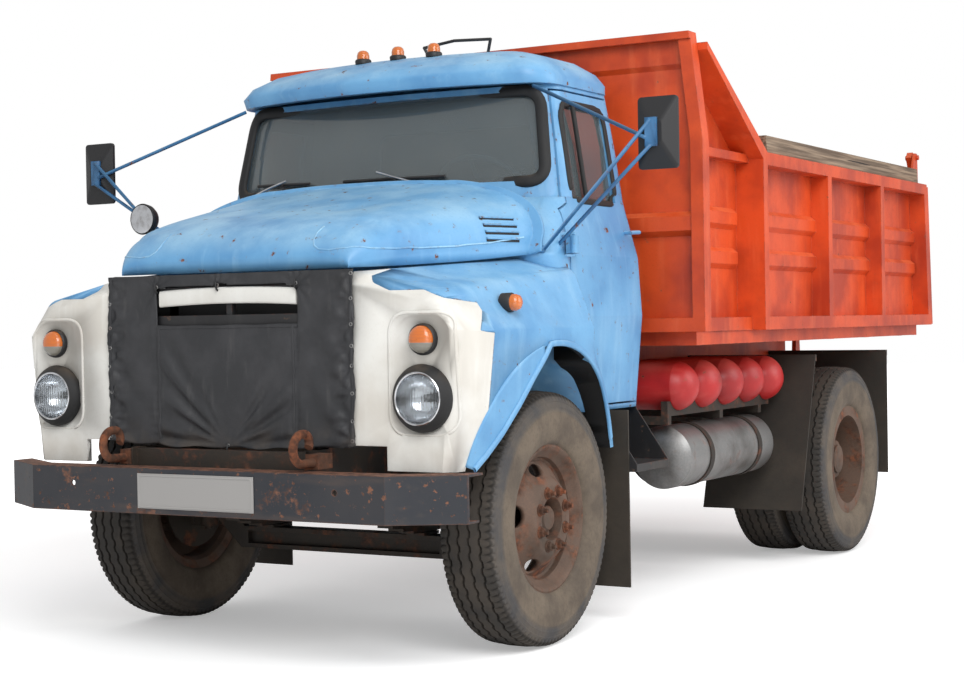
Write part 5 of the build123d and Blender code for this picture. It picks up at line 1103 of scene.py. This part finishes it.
FILL_STEPS = 8
filler = Shape()
edge_line = [(a[0] + (b[0] - a[0]) * t / 6, a[1] + (b[1] - a[1]) * t / 6)
             for a, b in zip(ARCH_EDGE, ARCH_EDGE[1:]) for t in range(6)] + [ARCH_EDGE[-1]]
rows = []
for y, z in edge_line:
    away = Vector((y - ARCH_MIDDLE[0], z - ARCH_MIDDLE[1]))
    far = away.normalized() * (ARCH_RADIUS + 0.006)
    y1, z1 = ARCH_MIDDLE[0] + far.x, max(ARCH_MIDDLE[1] + far.y, 0.772)
    row = []
    for k in range(FILL_STEPS + 1):
        t = k / FILL_STEPS
        v, w = y + (y1 - y) * t, z + (z1 - z) * t
        row.append(at(wing_side(v, w) - 0.0005 + 0.0015 * t, v, w))
    rows.append(row)
filler.grid(rows)
filler.mirrored().piece("wing_arch_fronts", blue, "chassis", thick=0.010, smooth=60)
LIP_RADIUS = ARCH_RADIUS + 0.004
LIP_HALF_WIDTH, LIP_HEIGHT = 0.012, 0.008
lip_line = edge_line + [(ARCH_MIDDLE[0] + LIP_RADIUS * sin(radians(a)), ARCH_MIDDLE[1] + LIP_RADIUS * cos(radians(a)))
                        for a in range(-6, 74, 4)]
lip = Shape().band([at(wing_side(y, z) + 0.001, y, z) for y, z in lip_line], [Vector((1, 0, 0))] * len(lip_line),
                   LIP_HALF_WIDTH, LIP_HEIGHT, closed=False)
lip.mirrored().piece("wing_arch_lips", blue, "chassis", smooth=60)

# Front wheels: cone disc with oval hand holes, a raised mounting ring and the hub deep inside it


def carved(made, cutter):
    """Cuts one piece with another and takes the cutter away."""
    cut = made.modifiers.new("holes", "BOOLEAN")
    cut.object = cutter
    cut.solver = "EXACT"
    view = bpy.context.evaluated_depsgraph_get()
    mesh = bpy.data.meshes.new_from_object(made.evaluated_get(view))
    made.modifiers.clear()
    made.data = mesh
    bpy.data.objects.remove(cutter)


HAND_HOLES = 5
FIRST_HOLE = radians(101)
HOLE_CIRCLE = 0.201
HOLE_DEEP, HOLE_WIDE = 0.024, 0.044
HOLE_STEPS = 28
FRONT_DISC = [
    (0.100, 0.302), (0.103, 0.294), (0.098, 0.284), (0.086, 0.276), (0.070, 0.262), (0.060, 0.250), (0.040, 0.246),
    (0.034, 0.236), (0.046, 0.222), (0.086, 0.176), (0.104, 0.160), (0.113, 0.150), (0.116, 0.143), (0.116, 0.093),
    (0.113, 0.088), (0.080, 0.084), (0.030, 0.080), (0.030, 0.058), (0.092, 0.052), (0.100, 0.044), (0.101, 0.020),
    (0.101, 0.001), (0.020, 0.001), (0.018, 0.092), (0.070, 0.098), (0.098, 0.106), (0.100, 0.138), (0.070, 0.172),
    (0.024, 0.226), (0.014, 0.246), (-0.060, 0.247), (-0.080, 0.262), (-0.092, 0.298), (-0.088, 0.303),
    (-0.074, 0.272), (-0.056, 0.258), (0.050, 0.262), (0.066, 0.272), (0.084, 0.298),
]
for side, word in SIDES:
    body = "wheel_front_" + word
    centre = at(side * FRONT_TYRE_X, 0.0, TYRE_RADIUS)
    disc = Shape().turned([(side * u, r) for u, r in FRONT_DISC], centre, steps=96)
    disc_piece = disc.piece("wheel_disc_" + word, wheel_paint, body, smooth=34, stands_for=("rim_front_" + word,))
    holes = Shape()
    for k in range(HAND_HOLES):
        angle = FIRST_HOLE + 2 * pi * k / HAND_HOLES
        across = Vector((0, cos(angle), sin(angle)))
        round_it = Vector((0, -sin(angle), cos(angle)))
        ring = [centre + across * (HOLE_CIRCLE + HOLE_DEEP * sin(t)) + round_it * (HOLE_WIDE * cos(t))
                for t in (2 * pi * n / HOLE_STEPS for n in range(HOLE_STEPS))]
        start = len(holes.points)
        holes.grid([[p + Vector((side * u, 0, 0)) for p in ring] for u in (-0.02, 0.12)], around=True)
        holes.faces += [tuple(start + n for n in range(HOLE_STEPS)),
                        tuple(start + HOLE_STEPS + n for n in reversed(range(HOLE_STEPS)))]
    hole_piece = holes.piece("hole_cutter", wheel_paint, body)
    carved(disc_piece, hole_piece)

# Floor, light and camera


def plain_floor():
    """White floor that catches the truck's shadow and shows white to the camera."""
    mesh = bpy.data.meshes.new("floor")
    reach = 40.0
    mesh.from_pydata([(-reach, -reach, 0), (reach, -reach, 0), (reach, reach, 0), (-reach, reach, 0)], [],
                     [(0, 1, 2, 3)])
    floor = bpy.data.objects.new("floor", mesh)
    bpy.context.collection.objects.link(floor)
    f = Finish("floor_paper", Roughness=0.9, Emission_Strength=1.0)
    paper = f.mix(f.noise(0.4, 2) * 0.04, srgb(244, 244, 244), srgb(236, 236, 236))
    seen = f.node("ShaderNodeLightPath", out="Is Camera Ray")
    away = f.node("ShaderNodeVectorMath", {"operation": "LENGTH"}, {0: f.place}, out="Value").over(3.2, 7.5)
    fill = f.mix(seen * (away * 0.66 + 0.34), (0, 0, 0, 1), (1, 1, 1, 1))
    mesh.materials.append(f.wear(Base_Color=paper, Emission_Color=fill))


def studio_light():
    """Even white surroundings with one soft key from the front left."""
    world = bpy.data.worlds.new("studio")
    bpy.context.scene.world = world
    world.use_nodes = True
    tree = world.node_tree
    background = tree.nodes["Background"]
    background.inputs["Color"].default_value = (1, 1, 1, 1)
    path = tree.nodes.new("ShaderNodeLightPath")
    white = tree.nodes.new("ShaderNodeMath")
    white.operation = "MAXIMUM"
    tree.links.new(path.outputs["Is Camera Ray"], white.inputs[0])
    tree.links.new(path.outputs["Is Transmission Ray"], white.inputs[1])
    strength = tree.nodes.new("ShaderNodeMapRange")
    strength.inputs["To Min"].default_value = 0.62
    strength.inputs["To Max"].default_value = 1.0
    tree.links.new(white.outputs[0], strength.inputs["Value"])
    tree.links.new(strength.outputs[0], background.inputs["Strength"])
    for name, place, aim, size, power in (
            ("key_light", (6.5, -8.5, 7.5), (0, -1.2, 1.0), 6.0, 900.0),
            ("side_light", (9.0, 2.0, 5.0), (0, 0, 1.2), 6.0, 380.0),
    ):
        data = bpy.data.lights.new(name, "AREA")
        data.size = size
        data.energy = power
        light = bpy.data.objects.new(name, data)
        light.location = place
        light.rotation_euler = (Vector(aim) - Vector(place)).to_track_quat("-Z", "Y").to_euler()
        bpy.context.collection.objects.link(light)


CAMERA_AT = at(4.40879, -6.38797, 1.31779)
CAMERA_YAW = radians(30.27)
CAMERA_PITCH = radians(0.845)
CAMERA_ROLL = radians(-0.96)
FOCAL_PIXELS = 1785.08
FRAME_WIDTH = 964


def place_camera():
    """Camera at the photograph's viewing angle."""
    back = Vector((sin(CAMERA_YAW) * cos(CAMERA_PITCH), -cos(CAMERA_YAW) * cos(CAMERA_PITCH), sin(CAMERA_PITCH)))
    right = (-back).cross(Vector((0, 0, 1))).normalized()
    up = right.cross(-back)
    turned_right = right * cos(CAMERA_ROLL) + up * sin(CAMERA_ROLL)
    turned_up = up * cos(CAMERA_ROLL) - right * sin(CAMERA_ROLL)
    data = bpy.data.cameras.new("camera")
    data.sensor_width = 36.0
    data.lens = 36.0 * FOCAL_PIXELS / FRAME_WIDTH
    data.shift_x = 0.0037
    camera = bpy.data.objects.new("camera", data)
    axes = Matrix((turned_right, turned_up, back)).transposed()
    camera.matrix_world = Matrix.Translation(CAMERA_AT) @ axes.to_4x4()
    bpy.context.collection.objects.link(camera)
    bpy.context.scene.camera = camera


bpy.context.scene.view_settings.view_transform = "Standard"
plain_floor()
studio_light()
place_camera()
